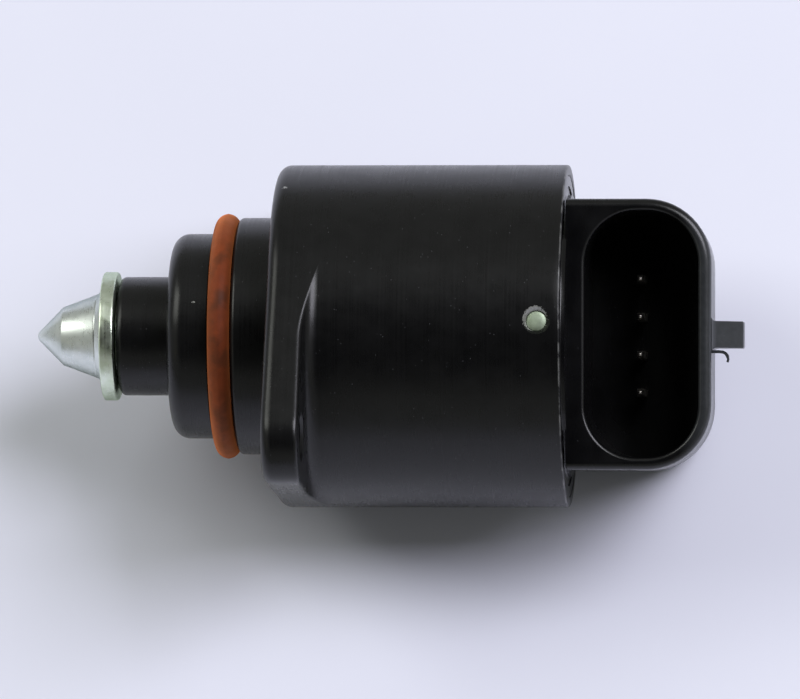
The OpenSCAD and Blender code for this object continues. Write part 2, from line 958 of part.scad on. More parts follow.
// Rear cup yoke with a window for the terminal block
module yoke_4() {
    color("#8d9094")
        difference() {
            rotate([phase_angle, 0, 0])
                yoke(cap_x0, -1, true);
            facing()
                block_window(cap_x0 - yoke_t - over, cap_x0 + over);
        }
}

// Spool between two yoke plates
module bobbin(x0, x1) {
    turned([
        [bobbin_r0, x0], [bobbin_r2, x0], [bobbin_r2, x0 + bobbin_wall], [bobbin_r1, x0 + bobbin_wall],
        [bobbin_r1, x1 - bobbin_wall], [bobbin_r2, x1 - bobbin_wall], [bobbin_r2, x1], [bobbin_r0, x1]
    ]);
}

module bobbin_front() {
    color("#e4ddc8")
        bobbin(floor_x + yoke_t, mid_x - yoke_t);
}

// Rear spool with the block that the terminals end on
module bobbin_rear() {
    x1 = cap_x0 - yoke_t;
    color("#e4ddc8") {
        bobbin(mid_x + yoke_t, x1);
        facing()
            translate([x1 - bobbin_wall / 2, -block_w / 2, -terminal_level - block_t / 2])
                cube([bobbin_wall / 2 + yoke_t + block_l, block_w, block_t]);
    }
}

module coil(x0, x1) {
    color(copper)
        ring(bobbin_r1 + wrap_gap, coil_r, x0 + bobbin_wall + wrap_gap, x1 - bobbin_wall - wrap_gap);
}

housing();
flange_ring();
connector_housing();
cap_seal();
retaining_pin(0);  // retaining_pin_1
retaining_pin(1);  // retaining_pin_2
retaining_pin(2);  // retaining_pin_3
terminal(0);  // terminal_1
terminal(1);  // terminal_2
terminal(2);  // terminal_3
terminal(3);  // terminal_4
pintle();
pintle_collar();
lead_screw();
preload_spring();
guide_bush();
bearing_outer_ring();
bearing_inner_ring();
bearing_balls();
bearing_cage();
bearing_retainer();
rotor_hub();
rotor_magnet();
rear_bush();
preload_washer();
yoke_1();
yoke_2();
yoke_3();
yoke_4();
bobbin_front();
bobbin_rear();
coil(floor_x + yoke_t, mid_x - yoke_t);  // coil_front
coil(mid_x + yoke_t, cap_x0 - yoke_t);  // coil_rear
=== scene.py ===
"""Dresses the idle air control valve and lights it for the picture."""

import json
import logging
import math
from dataclasses import dataclass
from enum import Enum
from functools import cache
from typing import Protocol, Sequence

import bmesh
import bpy
from mathutils import Matrix, Vector


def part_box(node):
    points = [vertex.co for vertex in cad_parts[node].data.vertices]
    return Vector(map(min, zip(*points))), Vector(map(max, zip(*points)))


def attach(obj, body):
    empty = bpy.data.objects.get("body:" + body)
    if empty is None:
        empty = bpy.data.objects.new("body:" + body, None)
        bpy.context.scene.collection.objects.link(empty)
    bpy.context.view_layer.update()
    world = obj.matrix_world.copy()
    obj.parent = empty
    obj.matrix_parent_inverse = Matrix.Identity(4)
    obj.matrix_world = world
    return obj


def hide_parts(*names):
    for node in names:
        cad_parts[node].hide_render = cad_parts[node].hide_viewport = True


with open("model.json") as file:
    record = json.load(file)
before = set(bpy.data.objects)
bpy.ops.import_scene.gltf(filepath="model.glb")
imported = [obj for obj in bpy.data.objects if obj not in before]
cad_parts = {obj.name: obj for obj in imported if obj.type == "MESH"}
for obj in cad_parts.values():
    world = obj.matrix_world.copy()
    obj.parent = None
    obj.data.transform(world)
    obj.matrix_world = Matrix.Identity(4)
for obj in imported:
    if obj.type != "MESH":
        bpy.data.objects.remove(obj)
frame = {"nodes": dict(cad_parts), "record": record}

log = logging.getLogger("valve")

MM = 0.001
SAME_POINT = 1e-7
Colour = tuple[float, float, float]
Outline = list[tuple[float, float]]
Ring = list[tuple[float, float, float]]
Spot = tuple[float, float, float, float]
Socket = bpy.types.NodeSocket
Thing = bpy.types.Object


class Body(Enum):
    """Bodies of the frame that the pieces ride on."""

    ROOT = "root"
    STEM = "stem"


# Mesh tools


def arc(cx: float, cy: float, r: float, a0: float, a1: float, steps: int = 8) -> Outline:
    """Points of an arc in degrees.

    Args:
        cx: First coordinate of the centre.
        cy: Second coordinate of the centre.
        r: Radius.
        a0: Start angle in degrees.
        a1: End angle in degrees.
        steps: Number of steps between the two ends.

    Returns:
        The points from a0 to a1, both ends included.
    """
    angles = (math.radians(a0 + (a1 - a0) * i / steps) for i in range(steps + 1))
    return [(cx + r * math.cos(a), cy + r * math.sin(a)) for a in angles]


def bend(p0: Sequence[float], p1: Sequence[float], p2: Sequence[float], steps: int = 6) -> Outline:
    """Points of a soft corner.

    Args:
        p0: Start of the curve.
        p1: Corner that the curve leans to.
        p2: End of the curve.
        steps: Number of steps between the two ends.

    Returns:
        The points from p0 to p2, both ends included.
    """
    out = []
    for i in range(steps + 1):
        t = i / steps
        a, b, c = (1 - t) ** 2, 2 * t * (1 - t), t ** 2
        out.append((a * p0[0] + b * p1[0] + c * p2[0], a * p0[1] + b * p1[1] + c * p2[1]))
    return out


def rounded(points: Sequence[tuple[float, float, float]], steps: int = 6) -> Outline:
    """Rounds every corner of an outline with the same number of steps.

    Args:
        points: Corners as first coordinate, second coordinate and corner radius.
        steps: Steps of each round.

    Returns:
        The outline with an arc in place of each corner.
    """
    out: Outline = []
    n = len(points)
    for i, (x, y, r) in enumerate(points):
        here = Vector((x, y))
        back = (Vector(points[i - 1][:2]) - here).normalized()
        ahead = (Vector(points[(i + 1) % n][:2]) - here).normalized()
        half = back.angle(ahead) / 2
        centre = here + (back + ahead).normalized() * (r / math.sin(half))
        start = here + back * (r / math.tan(half)) - centre
        end = here + ahead * (r / math.tan(half)) - centre
        turn = start.angle_signed(end)
        for k in range(steps + 1):
            a = -turn * k / steps
            out.append((
                centre.x + start.x * math.cos(a) - start.y * math.sin(a),
                centre.y + start.x * math.sin(a) + start.y * math.cos(a),
            ))
    return out


def mesh_from(name: str, points: Sequence[Sequence[float]], faces: list[tuple[int, ...]]) -> Thing:
    """Builds an object from points and faces, with its normals outward.

    Args:
        name: Name of the object.
        points: Points in millimetres.
        faces: Point numbers of each face.

    Returns:
        The linked object.
    """
    mesh = bpy.data.meshes.new(name)
    mesh.from_pydata([Vector(p) * MM for p in points], [], faces)
    bm = bmesh.new()
    bm.from_mesh(mesh)
    bmesh.ops.remove_doubles(bm, verts=bm.verts, dist=SAME_POINT)
    bmesh.ops.dissolve_degenerate(bm, edges=bm.edges, dist=SAME_POINT)
    bmesh.ops.delete(bm, geom=[e for e in bm.edges if not e.link_faces], context="EDGES")
    bmesh.ops.recalc_face_normals(bm, faces=bm.faces)
    bm.to_mesh(mesh)
    bm.free()
    obj = bpy.data.objects.new(name, mesh)
    bpy.context.scene.collection.objects.link(obj)
    return obj


def loft(name: str, rings: Sequence[Ring], looped: bool = False) -> Thing:
    """Joins rings of points to a skin, closed at both ends or looped.

    Args:
        name: Name of the object.
        rings: Closed rings with the same number of points.
        looped: Whether the last ring joins the first, in place of two caps.

    Returns:
        The new object.
    """
    n = len(rings[0])
    count = len(rings) if looped else len(rings) - 1
    faces: list[tuple[int, ...]] = []
    for k in range(count):
        near, far = k * n, (k + 1) % len(rings) * n
        faces += [(near + i, near + (i + 1) % n, far + (i + 1) % n, far + i) for i in range(n)]
    if not looped:
        faces += [tuple(range(n)), tuple(range(count * n, count * n + n))]
    return mesh_from(name, [p for ring in rings for p in ring], faces)


def at_angle(profile: Outline, a: float) -> Ring:
    """Places a profile of radius and station at an angle in radians about the X axis."""
    return [(x, r * math.cos(a), r * math.sin(a)) for r, x in profile]


def turned(name: str, profile: Outline, segments: int = 192) -> Thing:
    """Turns a closed profile about the X axis.

    Args:
        name: Name of the object.
        profile: Points as radius and station along X, in order round the section.
        segments: Steps round the axis.

    Returns:
        The turned object.
    """
    rings = [at_angle(profile, 2 * math.pi * k / segments) for k in range(segments)]
    return loft(name, rings, looped=True)


def outward(obj: Thing, station: float, angle: float) -> Thing:
    """Turns a piece made along X so that it points away from the valve's axis.

    Args:
        obj: The piece.
        station: Where it stands along X, in millimetres.
        angle: Turn about X in degrees, from +Z towards -Y.

    Returns:
        The same piece.
    """
    upright = Matrix.Rotation(-math.pi / 2, 4, "Y")
    about_x = Matrix.Rotation(math.radians(angle), 4, "X")
    obj.data.transform(Matrix.Translation((station * MM, 0, 0)) @ about_x @ upright)
    return obj


def combine(obj: Thing, others: Sequence[Thing], operation: str) -> None:
    """Adds closed pieces to an object, or cuts them out of it.

    Args:
        obj: The object to change.
        others: Closed pieces, which are used up.
        operation: UNION or DIFFERENCE.
    """
    for other in others:
        step = obj.modifiers.new("combine", "BOOLEAN")
        step.operation = operation
        step.solver = "EXACT"
        step.object = other
    graph = bpy.context.evaluated_depsgraph_get()
    mesh = bpy.data.meshes.new_from_object(obj.evaluated_get(graph))
    obj.modifiers.clear()
    obj.data = mesh
    mesh.name = obj.name
    for other in others:
        bpy.data.objects.remove(other)


def finish_piece(
    obj: Thing, slot: str, body: Body, nodes: Sequence[str], sharp: float = 34.0, look: str | None = None
) -> Thing:
    """Shades a piece, gives it its finish and puts it in place of CAD nodes.

    Args:
        obj: The piece.
        slot: The record's material slot.
        body: Body that it rides on.
        nodes: CAD nodes that it stands for.
        sharp: Angle in degrees above which an edge stays sharp.
        look: Finish that it shows, where that isn't the slot's own.

    Returns:
        The same piece.
    """
    obj.data.materials.clear()
    obj.data.materials.append(material_of(look or slot))
    obj.data.shade_smooth()
    obj.data.set_sharp_from_angle(angle=math.radians(sharp))
    normals = obj.modifiers.new("normals", "WEIGHTED_NORMAL")
    normals.keep_sharp = True
    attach(obj, body.value)
    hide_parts(*nodes)
    log.info("%s: %d faces, for %s", obj.name, len(obj.data.polygons), ", ".join(nodes))
    return obj


# Finishes


class Graph:
    """Node graph of one material, with the calls that its finishes need."""

    def __init__(self, name: str) -> None:
        """Starts a material with a Principled shader.

        Args:
            name: Name of the material.
        """
        self.material = bpy.data.materials.new(name)
        self.material.use_nodes = True
        self.tree = self.material.node_tree
        self.shader = self.tree.nodes["Principled BSDF"]
        self.place = self.add("ShaderNodeTexCoord").outputs["Object"]

    def add(self, kind: str, **settings: object) -> bpy.types.Node:
        """Adds a node.

        Args:
            kind: Type name of the node.
            **settings: Properties of the node, or values of its inputs by name.

        Returns:
            The new node.
        """
        node = self.tree.nodes.new(kind)
        for key, value in settings.items():
            if hasattr(node, key):
                setattr(node, key, value)
            else:
                node.inputs[key.replace("_", " ").title()].default_value = value
        return node

    def link(self, source: Socket, target: Socket) -> None:
        """Joins an output to an input."""
        self.tree.links.new(source, target)

    def feed(self, source: Socket, name: str) -> None:
        """Joins an output to an input of the shader."""
        self.link(source, self.shader.inputs[name])

    def set(self, **values: object) -> None:
        """Sets plain values on the shader's own sockets."""
        for key, value in values.items():
            self.shader.inputs[key.replace("_", " ").title().replace("Ior", "IOR")].default_value = value

    def math(self, operation: str, *values: Socket | float) -> Socket:
        """Does a sum on sockets and numbers.

        Args:
            operation: Name of the operation.
            *values: Sockets or numbers, in order.

        Returns:
            The result.
        """
        node = self.add("ShaderNodeMath", operation=operation)
        for i, value in enumerate(values):
            if isinstance(value, (int, float)):
                node.inputs[i].default_value = value
            else:
                self.link(value, node.inputs[i])
        return node.outputs[0]

    def noise(self, per_mm: float, detail: float = 3.0, stretch: Sequence[float] = (1, 1, 1)) -> Socket:
        """A noise field in the object's own space.

        Args:
            per_mm: Features of the noise for each millimetre.
            detail: Octaves of finer noise.
            stretch: Scale along each axis.

        Returns:
            The noise value.
        """
        node = self.add("ShaderNodeTexNoise", Scale=per_mm / MM, Detail=detail)
        mapping = self.add("ShaderNodeMapping")
        mapping.inputs["Scale"].default_value = stretch
        self.link(self.place, mapping.inputs["Vector"])
        self.link(mapping.outputs["Vector"], node.inputs["Vector"])
        return node.outputs["Fac"]

    def spread(self, value: Socket, low: float, high: float, start: float = 0.3, end: float = 0.7) -> Socket:
        """Maps a part of a field to a range.

        Args:
            value: Field.
            low: Result at the start of the part.
            high: Result at its end.
            start: Value where the part starts.
            end: Value where it ends.

        Returns:
            The mapped value.
        """
        node = self.add("ShaderNodeMapRange")
        for name, number in (("From Min", start), ("From Max", end), ("To Min", low), ("To Max", high)):
            node.inputs[name].default_value = number
        self.link(value, node.inputs["Value"])
        return node.outputs["Result"]

    def blend(self, share: Socket, first: Colour | Socket, last: Colour | Socket) -> Socket:
        """Blends two colours.

        Args:
            share: Share of the last colour, from 0 to 1.
            first: Colour at 0.
            last: Colour at 1.

        Returns:
            The blended colour.
        """
        node = self.add("ShaderNodeMix", data_type="RGBA")
        self.link(share, node.inputs[0])
        for i, colour in ((6, first), (7, last)):
            if isinstance(colour, tuple):
                node.inputs[i].default_value = (*colour, 1)
            else:
                self.link(colour, node.inputs[i])
        return node.outputs[2]

    def station(self) -> Socket:
        """The place along the valve's axis.

        Returns:
            The X coordinate in metres.
        """
        parts = self.add("ShaderNodeSeparateXYZ")
        self.link(self.place, parts.inputs[0])
        return parts.outputs[0]

    def specks(self, per_mm: float, share: float, bare: float = 0.64) -> Socket:
        """Sparse specks, such as dust.

        Args:
            per_mm: Cells of the pattern for each millimetre.
            share: Radius of a speck as a share of its cell.
            bare: Level of a wide noise field below which there are no specks.

        Returns:
            A mask that is 1 on a speck.
        """
        node = self.add("ShaderNodeTexVoronoi", Scale=per_mm / MM)
        self.link(self.place, node.inputs["Vector"])
        near = self.math("LESS_THAN", node.outputs["Distance"], share)
        rare = self.math("GREATER_THAN", self.noise(per_mm / 3, 0), bare)
        return self.math("MULTIPLY", near, rare)

    def spots(self, places: Sequence[Spot], uneven: float = 0.16) -> Socket:
        """Ragged spots at known places.

        Args:
            places: Each spot's place and radius in millimetres.
            uneven: How far their edges stray, in millimetres.

        Returns:
            A mask that is 1 on a spot.
        """
        ragged = self.spread(self.noise(5.0, 3), -uneven, uneven)
        mask: Socket | float = 0.0
        for x, y, z, r in places:
            node = self.add("ShaderNodeVectorMath", operation="DISTANCE")
            node.inputs[1].default_value = (x * MM, y * MM, z * MM)
            self.link(self.place, node.inputs[0])
            far = self.math("ADD", self.math("MULTIPLY", node.outputs["Value"], 1 / MM), ragged)
            mask = self.math("MAXIMUM", mask, self.math("LESS_THAN", far, r))
        return mask

    def wear_and_highlight_edge(self, station: float, radius: float) -> Socket:
        """Broken lighter band along a round edge about the X axis, partly wear and partly a painted
        highlight.

        Args:
            station: Station in millimetres that the wear starts behind.
            radius: Distance from the axis in millimetres that it starts beyond.

        Returns:
            A mask that is 1 where the edge is worn.
        """
        across = self.add("ShaderNodeVectorMath", operation="MULTIPLY")
        across.inputs[1].default_value = (0, 1, 1)
        self.link(self.place, across.inputs[0])
        away = self.add("ShaderNodeVectorMath", operation="LENGTH")
        self.link(across.outputs[0], away.inputs[0])
        beyond = self.math("GREATER_THAN", away.outputs["Value"], radius * MM)
        behind = self.math("GREATER_THAN", self.station(), station * MM)
        broken = self.spread(self.noise(0.8, 5), 0, 1, 0.4, 0.6)
        return self.math("MULTIPLY", self.math("MULTIPLY", beyond, behind), broken)

    def bump(self, value: Socket, depth_mm: float) -> None:
        """Raises the surface by a value.

        Args:
            value: Height, from 0 to 1.
            depth_mm: Height in millimetres at 1.
        """
        node = self.add("ShaderNodeBump", Distance=depth_mm * MM)
        self.link(value, node.inputs["Height"])
        old = self.shader.inputs["Normal"].links
        if old:
            self.link(old[0].from_socket, node.inputs["Normal"])
        self.feed(node.outputs["Normal"], "Normal")

    def tool_marks(self, pitch_mm: float) -> Socket:
        """Turning marks: uneven fine rings about the X axis.

        Args:
            pitch_mm: Distance from ring to ring.

        Returns:
            The height of the marks.
        """
        return self.noise(1 / pitch_mm, 4, (1, 0.002, 0.002))


class Finish(Protocol):
    """A finish that can build its material."""

    def material(self) -> bpy.types.Material:
        """Builds the material.

        Returns:
            The material, ready for a piece.
        """


@dataclass(frozen=True)
class SatinCoat:
    """Thin black coating on turned metal, with chips, dust and a lighter rear edge that is partly wear and
    partly a painted highlight. Sizes in millimetres.
    """

    name: str = "satin_coat"
    low: Colour = (0.0026, 0.0026, 0.0028)
    high: Colour = (0.0048, 0.0048, 0.0050)
    mottle_per_mm: float = 0.35
    rough_low: float = 0.26
    rough_high: float = 0.32
    gloss_per_mm: float = 0.5
    specular: float = 0.35
    chips: tuple[Spot, ...] = ()
    bare: Colour = (0.42, 0.42, 0.40)
    bare_metal: float = 0.8
    # Lighter rear edge, partly wear and partly a painted highlight: where it starts and how strong it is.
    edge_x: float = 30.33
    edge_r: float = 17.85
    edge_share: float = 0.26
    dust: Colour = (0.06, 0.06, 0.065)
    dust_per_mm: float = 2.2
    dust_share: float = 0.11
    gloss_marks: float = 0.25
    gloss_change: float = 0.03
    marks: float = 0.3
    marks_depth: float = 0.0008
    grain_per_mm: float = 2.4
    grain_depth: float = 0.004

    def material(self) -> bpy.types.Material:
        """Builds the material.

        Returns:
            The material, ready for a piece.
        """
        g = Graph(self.name)
        coat = g.blend(g.spread(g.noise(self.mottle_per_mm, 5), 0, 1), self.low, self.high)
        dusty = g.blend(g.specks(self.dust_per_mm, self.dust_share), coat, self.dust)
        # Rear edge: partly wear, partly a painted highlight that stands in for the edge's bright reflection.
        edge_wear_and_highlight = g.math("MULTIPLY", g.wear_and_highlight_edge(self.edge_x, self.edge_r), self.edge_share)
        chips_wear_and_highlight = g.math("MAXIMUM", g.spots(self.chips), edge_wear_and_highlight)
        g.feed(g.blend(chips_wear_and_highlight, dusty, self.bare), "Base Color")
        g.feed(g.math("MULTIPLY", chips_wear_and_highlight, self.bare_metal), "Metallic")
        rough = g.spread(g.noise(self.gloss_per_mm, 4), self.rough_low, self.rough_high)
        turned_gloss = g.spread(g.tool_marks(self.gloss_marks), -self.gloss_change, self.gloss_change)
        g.feed(g.math("ADD", rough, turned_gloss), "Roughness")
        g.set(specular_ior_level=self.specular)
        g.bump(g.tool_marks(self.marks), self.marks_depth)
        g.bump(g.noise(self.grain_per_mm, 2), self.grain_depth)
        return g.material


@dataclass(frozen=True)
class Moulding:
    """Black moulded plastic with a fine grain, faint flow marks and a lighter, patchy tone towards the
    socket's far end. Sizes in millimetres.
    """

    name: str = "black_moulding"
    low: Colour = (0.0018, 0.0018, 0.0021)
    high: Colour = (0.0040, 0.0040, 0.0045)
    mottle_per_mm: float = 0.5
    rough_low: float = 0.22
    rough_high: float = 0.32
    flow_per_mm: float = 0.25
    flow_stretch: tuple[float, float, float] = (1, 0.3, 0.3)
    specular: float = 0.42
    dust: Colour = (0.06, 0.06, 0.065)
    dust_per_mm: float = 1.9
    dust_share: float = 0.1
    # Lighter tone towards the socket's far end, where along X it starts and ends, and how patchy it is.
    end_tone: Colour = (0.038, 0.041, 0.044)
    end_tone_from: float = 42.5
    end_tone_to: float = 46.0
    end_tone_per_mm: float = 1.6
    end_tone_least: float = 0.7
    grain_per_mm: float = 5.0
    grain_depth: float = 0.004
    sink_per_mm: float = 0.4
    sink_depth: float = 0.012

    def material(self) -> bpy.types.Material:
        """Builds the material.

        Returns:
            The material, ready for a piece.
        """
        g = Graph(self.name)
        mass = g.blend(g.spread(g.noise(self.mottle_per_mm, 4), 0, 1), self.low, self.high)
        # Lighter, patchy tone over the last few millimetres of the socket, towards its far end.
        towards_end = g.spread(g.station(), 0, 1, self.end_tone_from * MM, self.end_tone_to * MM)
        end_patches = g.spread(g.noise(self.end_tone_per_mm, 5), self.end_tone_least, 1)
        mass = g.blend(g.math("MULTIPLY", towards_end, end_patches), mass, self.end_tone)
        g.feed(g.blend(g.specks(self.dust_per_mm, self.dust_share), mass, self.dust), "Base Color")
        flow = g.noise(self.flow_per_mm, 4, self.flow_stretch)
        g.feed(g.spread(flow, self.rough_low, self.rough_high), "Roughness")
        g.bump(g.noise(self.grain_per_mm, 2), self.grain_depth)
        g.bump(g.noise(self.sink_per_mm, 2), self.sink_depth)
        g.set(specular_ior_level=self.specular)
        return g.material


@dataclass(frozen=True)
class Rubber:
    """Rubber of a sealing ring, with mould grain, a pale bloom and grimy patches. Sizes in millimetres."""

    name: str
    low: Colour
    high: Colour
    bloom: Colour
    mottle_per_mm: float = 0.8
    grime: Colour = (0.016, 0.009, 0.006)
    grime_share: float = 0.6
    grime_per_mm: float = 0.42
    grime_from: float = 0.46
    grime_to: float = 0.60
    rough_low: float = 0.5
    rough_high: float = 0.7
    gloss_per_mm: float = 0.6
    specular: float = 0.15
    bloom_rough: float = 0.55
    grain_per_mm: float = 4.0
    grain_depth: float = 0.012
    swell_per_mm: float = 0.5
    swell_depth: float = 0.02

    def material(self) -> bpy.types.Material:
        """Builds the material.

        Returns:
            The material, ready for a piece.
        """
        g = Graph(self.name)
        clean = g.blend(g.spread(g.noise(self.mottle_per_mm, 5), 0, 1), self.low, self.high)
        grime = g.noise(self.grime_per_mm, 6)
        grimy = g.spread(grime, 0, self.grime_share, self.grime_from, self.grime_to)
        g.feed(g.blend(grimy, clean, self.grime), "Base Color")
        g.feed(g.spread(g.noise(self.gloss_per_mm, 4), self.rough_low, self.rough_high), "Roughness")
        g.set(specular_ior_level=self.specular)
        g.set(sheen_weight=1.0, sheen_roughness=self.bloom_rough, sheen_tint=(*self.bloom, 1))
        g.bump(g.noise(self.grain_per_mm, 3), self.grain_depth)
        g.bump(g.noise(self.swell_per_mm, 2), self.swell_depth)
        return g.material


@dataclass(frozen=True)
class Metal:
    """Bare or plated metal, with or without turning marks. Sizes in millimetres."""

    name: str
    low: Colour
    high: Colour
    rough_low: float = 0.22
    rough_high: float = 0.34
    gloss_per_mm: float = 1.3
    marks: float = 0.0
    marks_depth: float = 0.003
    marks_gloss: tuple[float, float] = (-0.04, 0.06)
    patch_per_mm: float = 0.8
    grain_per_mm: float = 4.0
    grain_depth: float = 0.0015
    rim: Colour = (1.0, 1.0, 1.0)

    def material(self) -> bpy.types.Material:
        """Builds the material.

        Returns:
            The material, ready for a piece.
        """
        g = Graph(self.name)
        g.set(metallic=1.0, specular_tint=(*self.rim, 1))
        g.feed(g.blend(g.spread(g.noise(self.patch_per_mm, 4), 0, 1), self.low, self.high), "Base Color")
        rough = g.spread(g.noise(self.gloss_per_mm, 4), self.rough_low, self.rough_high)
        if self.marks > 0:
            marks = g.tool_marks(self.marks)
            rough = g.math("ADD", rough, g.spread(marks, *self.marks_gloss))
            g.bump(marks, self.marks_depth)
        g.feed(rough, "Roughness")
        g.bump(g.noise(self.grain_per_mm, 3), self.grain_depth)
        return g.material


@dataclass(frozen=True)
class Plastic:
    """Natural moulded plastic of the inner parts. Sizes in millimetres."""

    name: str
    low: Colour
    high: Colour
    mottle_per_mm: float = 0.4
    rough_low: float = 0.38
    rough_high: float = 0.5
    gloss_per_mm: float = 0.7
    grain_per_mm: float = 3.0
    grain_depth: float = 0.004

    def material(self) -> bpy.types.Material:
        """Builds the material.

        Returns:
            The material, ready for a piece.
        """
        g = Graph(self.name)
        g.feed(g.blend(g.spread(g.noise(self.mottle_per_mm, 3), 0, 1), self.low, self.high), "Base Color")
        g.feed(g.spread(g.noise(self.gloss_per_mm, 3), self.rough_low, self.rough_high), "Roughness")
        g.bump(g.noise(self.grain_per_mm, 2), self.grain_depth)
        return g.material


# Chips in the coat: nose and flange first, then the bare spots round the three pins. Place and radius.
CHIPS: tuple[Spot, ...] = (
    (1.24, 10.03, 14.90, 0.20),
    (0.98, -5.80, 17.00, 0.22),
    (0.66, -5.79, 16.86, 0.17),
    (-8.20, -1.16, 10.65, 0.10),
    (27.97, -6.15, 16.90, 1.27),
    (28.10, -11.37, -13.86, 1.38),
    (28.10, 17.69, -2.92, 1.38),
)

FINISHES: dict[str, Finish] = {
    "black_coat": SatinCoat(chips=CHIPS),
    "orange_rubber": Rubber(
        "orange_rubber", low=(0.11, 0.020, 0.006), high=(0.17, 0.031, 0.009), bloom=(1.0, 0.30, 0.09)
    ),
    "black_moulding": Moulding(),
    "black_rubber": Rubber(
        "black_rubber", low=(0.012, 0.012, 0.012), high=(0.02, 0.02, 0.02), bloom=(0.2, 0.2, 0.2)
    ),
    "zinc_plate": Metal(
        "zinc_plate", low=(0.66, 0.75, 0.58), high=(0.81, 0.89, 0.76), rough_low=0.24, rough_high=0.38,
        marks=0.18, marks_depth=0.002, patch_per_mm=1.2, grain_depth=0.003, rim=(0.66, 0.72, 0.64),
    ),
    "dull_zinc": Metal(
        "dull_zinc", low=(0.36, 0.43, 0.31), high=(0.48, 0.56, 0.43), rough_low=0.44, rough_high=0.58,
        patch_per_mm=1.2, grain_depth=0.004,
    ),
    "tin_plate": Metal(
        "tin_plate", low=(0.66, 0.62, 0.55), high=(0.78, 0.74, 0.68), rough_low=0.25, rough_high=0.35
    ),
    "turned_alloy": Metal(
        "turned_alloy", low=(0.69, 0.74, 0.71), high=(0.81, 0.85, 0.82), rough_low=0.24, rough_high=0.36,
        marks=0.12, marks_depth=0.002, rim=(0.42, 0.46, 0.45),
    ),
    "steel": Metal(
        "steel", low=(0.50, 0.51, 0.53), high=(0.58, 0.59, 0.61), rough_low=0.25, rough_high=0.35, marks=0.2
    ),
    "polished_steel": Metal(
        "polished_steel", low=(0.70, 0.71, 0.73), high=(0.76, 0.77, 0.79), rough_low=0.06, rough_high=0.1
    ),
    "spring_steel": Metal(
        "spring_steel", low=(0.36, 0.36, 0.38), high=(0.46, 0.46, 0.48), rough_low=0.3, rough_high=0.4
    ),
    "brass": Metal(
        "brass", low=(0.62, 0.45, 0.18), high=(0.72, 0.54, 0.24), rough_low=0.25, rough_high=0.35, marks=0.2
    ),
    "hub_plastic": Plastic("hub_plastic", low=(0.66, 0.61, 0.46), high=(0.74, 0.69, 0.54)),
    "magnet": Metal(
        "magnet", low=(0.07, 0.07, 0.08), high=(0.11, 0.11, 0.12), rough_low=0.4, rough_high=0.55,
        marks=0.3, marks_depth=0.006, patch_per_mm=0.6, grain_depth=0.01,
    ),
    "yoke_steel": Metal(
        "yoke_steel", low=(0.36, 0.37, 0.39), high=(0.46, 0.47, 0.49), rough_low=0.32, rough_high=0.45
    ),
    "bobbin_plastic": Plastic("bobbin_plastic", low=(0.72, 0.67, 0.54), high=(0.80, 0.75, 0.62)),
    "copper_winding": Metal(
        "copper_winding", low=(0.42, 0.15, 0.06), high=(0.54, 0.22, 0.09), rough_low=0.25, rough_high=0.35
    ),
}


@cache
def material_of(slot_name: str) -> bpy.types.Material:
    """The material of a finish, built when it is first asked for.

    Args:
        slot_name: The record's material slot.

    Returns:
        The material.
    """
    return FINISHES[slot_name].material()


def paint_frame() -> None:
    """Paints the frame's own nodes by the record's slots."""
    for part in frame["record"]["subparts"]:
        obj = frame["nodes"][part["node"]]
        material = material_of(part["material_slot"])
        if not obj.material_slots:
            obj.data.materials.append(material)
        for slot in obj.material_slots:
            slot.material = material
    log.info("painted %d nodes of the frame", len(frame["nodes"]))


# Pieces


@dataclass(frozen=True)
class PinHoles:
    """Place of the three retaining pins, shared by all the pieces that they pass through."""

    x: float = 28.1
    turns: tuple[float, ...] = (20.64, 140.64, 260.64)

    def drill(self, outline: Outline, back: float = 0.0) -> list[Thing]:
        """Makes one turned tool for each hole.

        Args:
            outline: Outline of the tool, as radius and distance from the valve's axis.
            back: Angle in degrees that the piece is still to be turned by about X.

        Returns:
            The tools, which point away from the axis.
        """
        return [outward(turned("pin", outline, 48), self.x, turn - back) for turn in self.turns]


@dataclass(frozen=True)
class TerminalRow:
    """Place of the four terminals, shared by the moulding and the terminals. Sizes in millimetres."""

    turn: float = 24.64
    count: int = 4
    pitch: float = 3.98
    x: float = 38.1
    level: float = -10.6

    def places(self) -> list[float]:
        """Place of each terminal across the valve."""
        return [(i - (self.count - 1) / 2) * self.pitch for i in range(self.count)]


PINS = PinHoles()
ROW = TerminalRow()


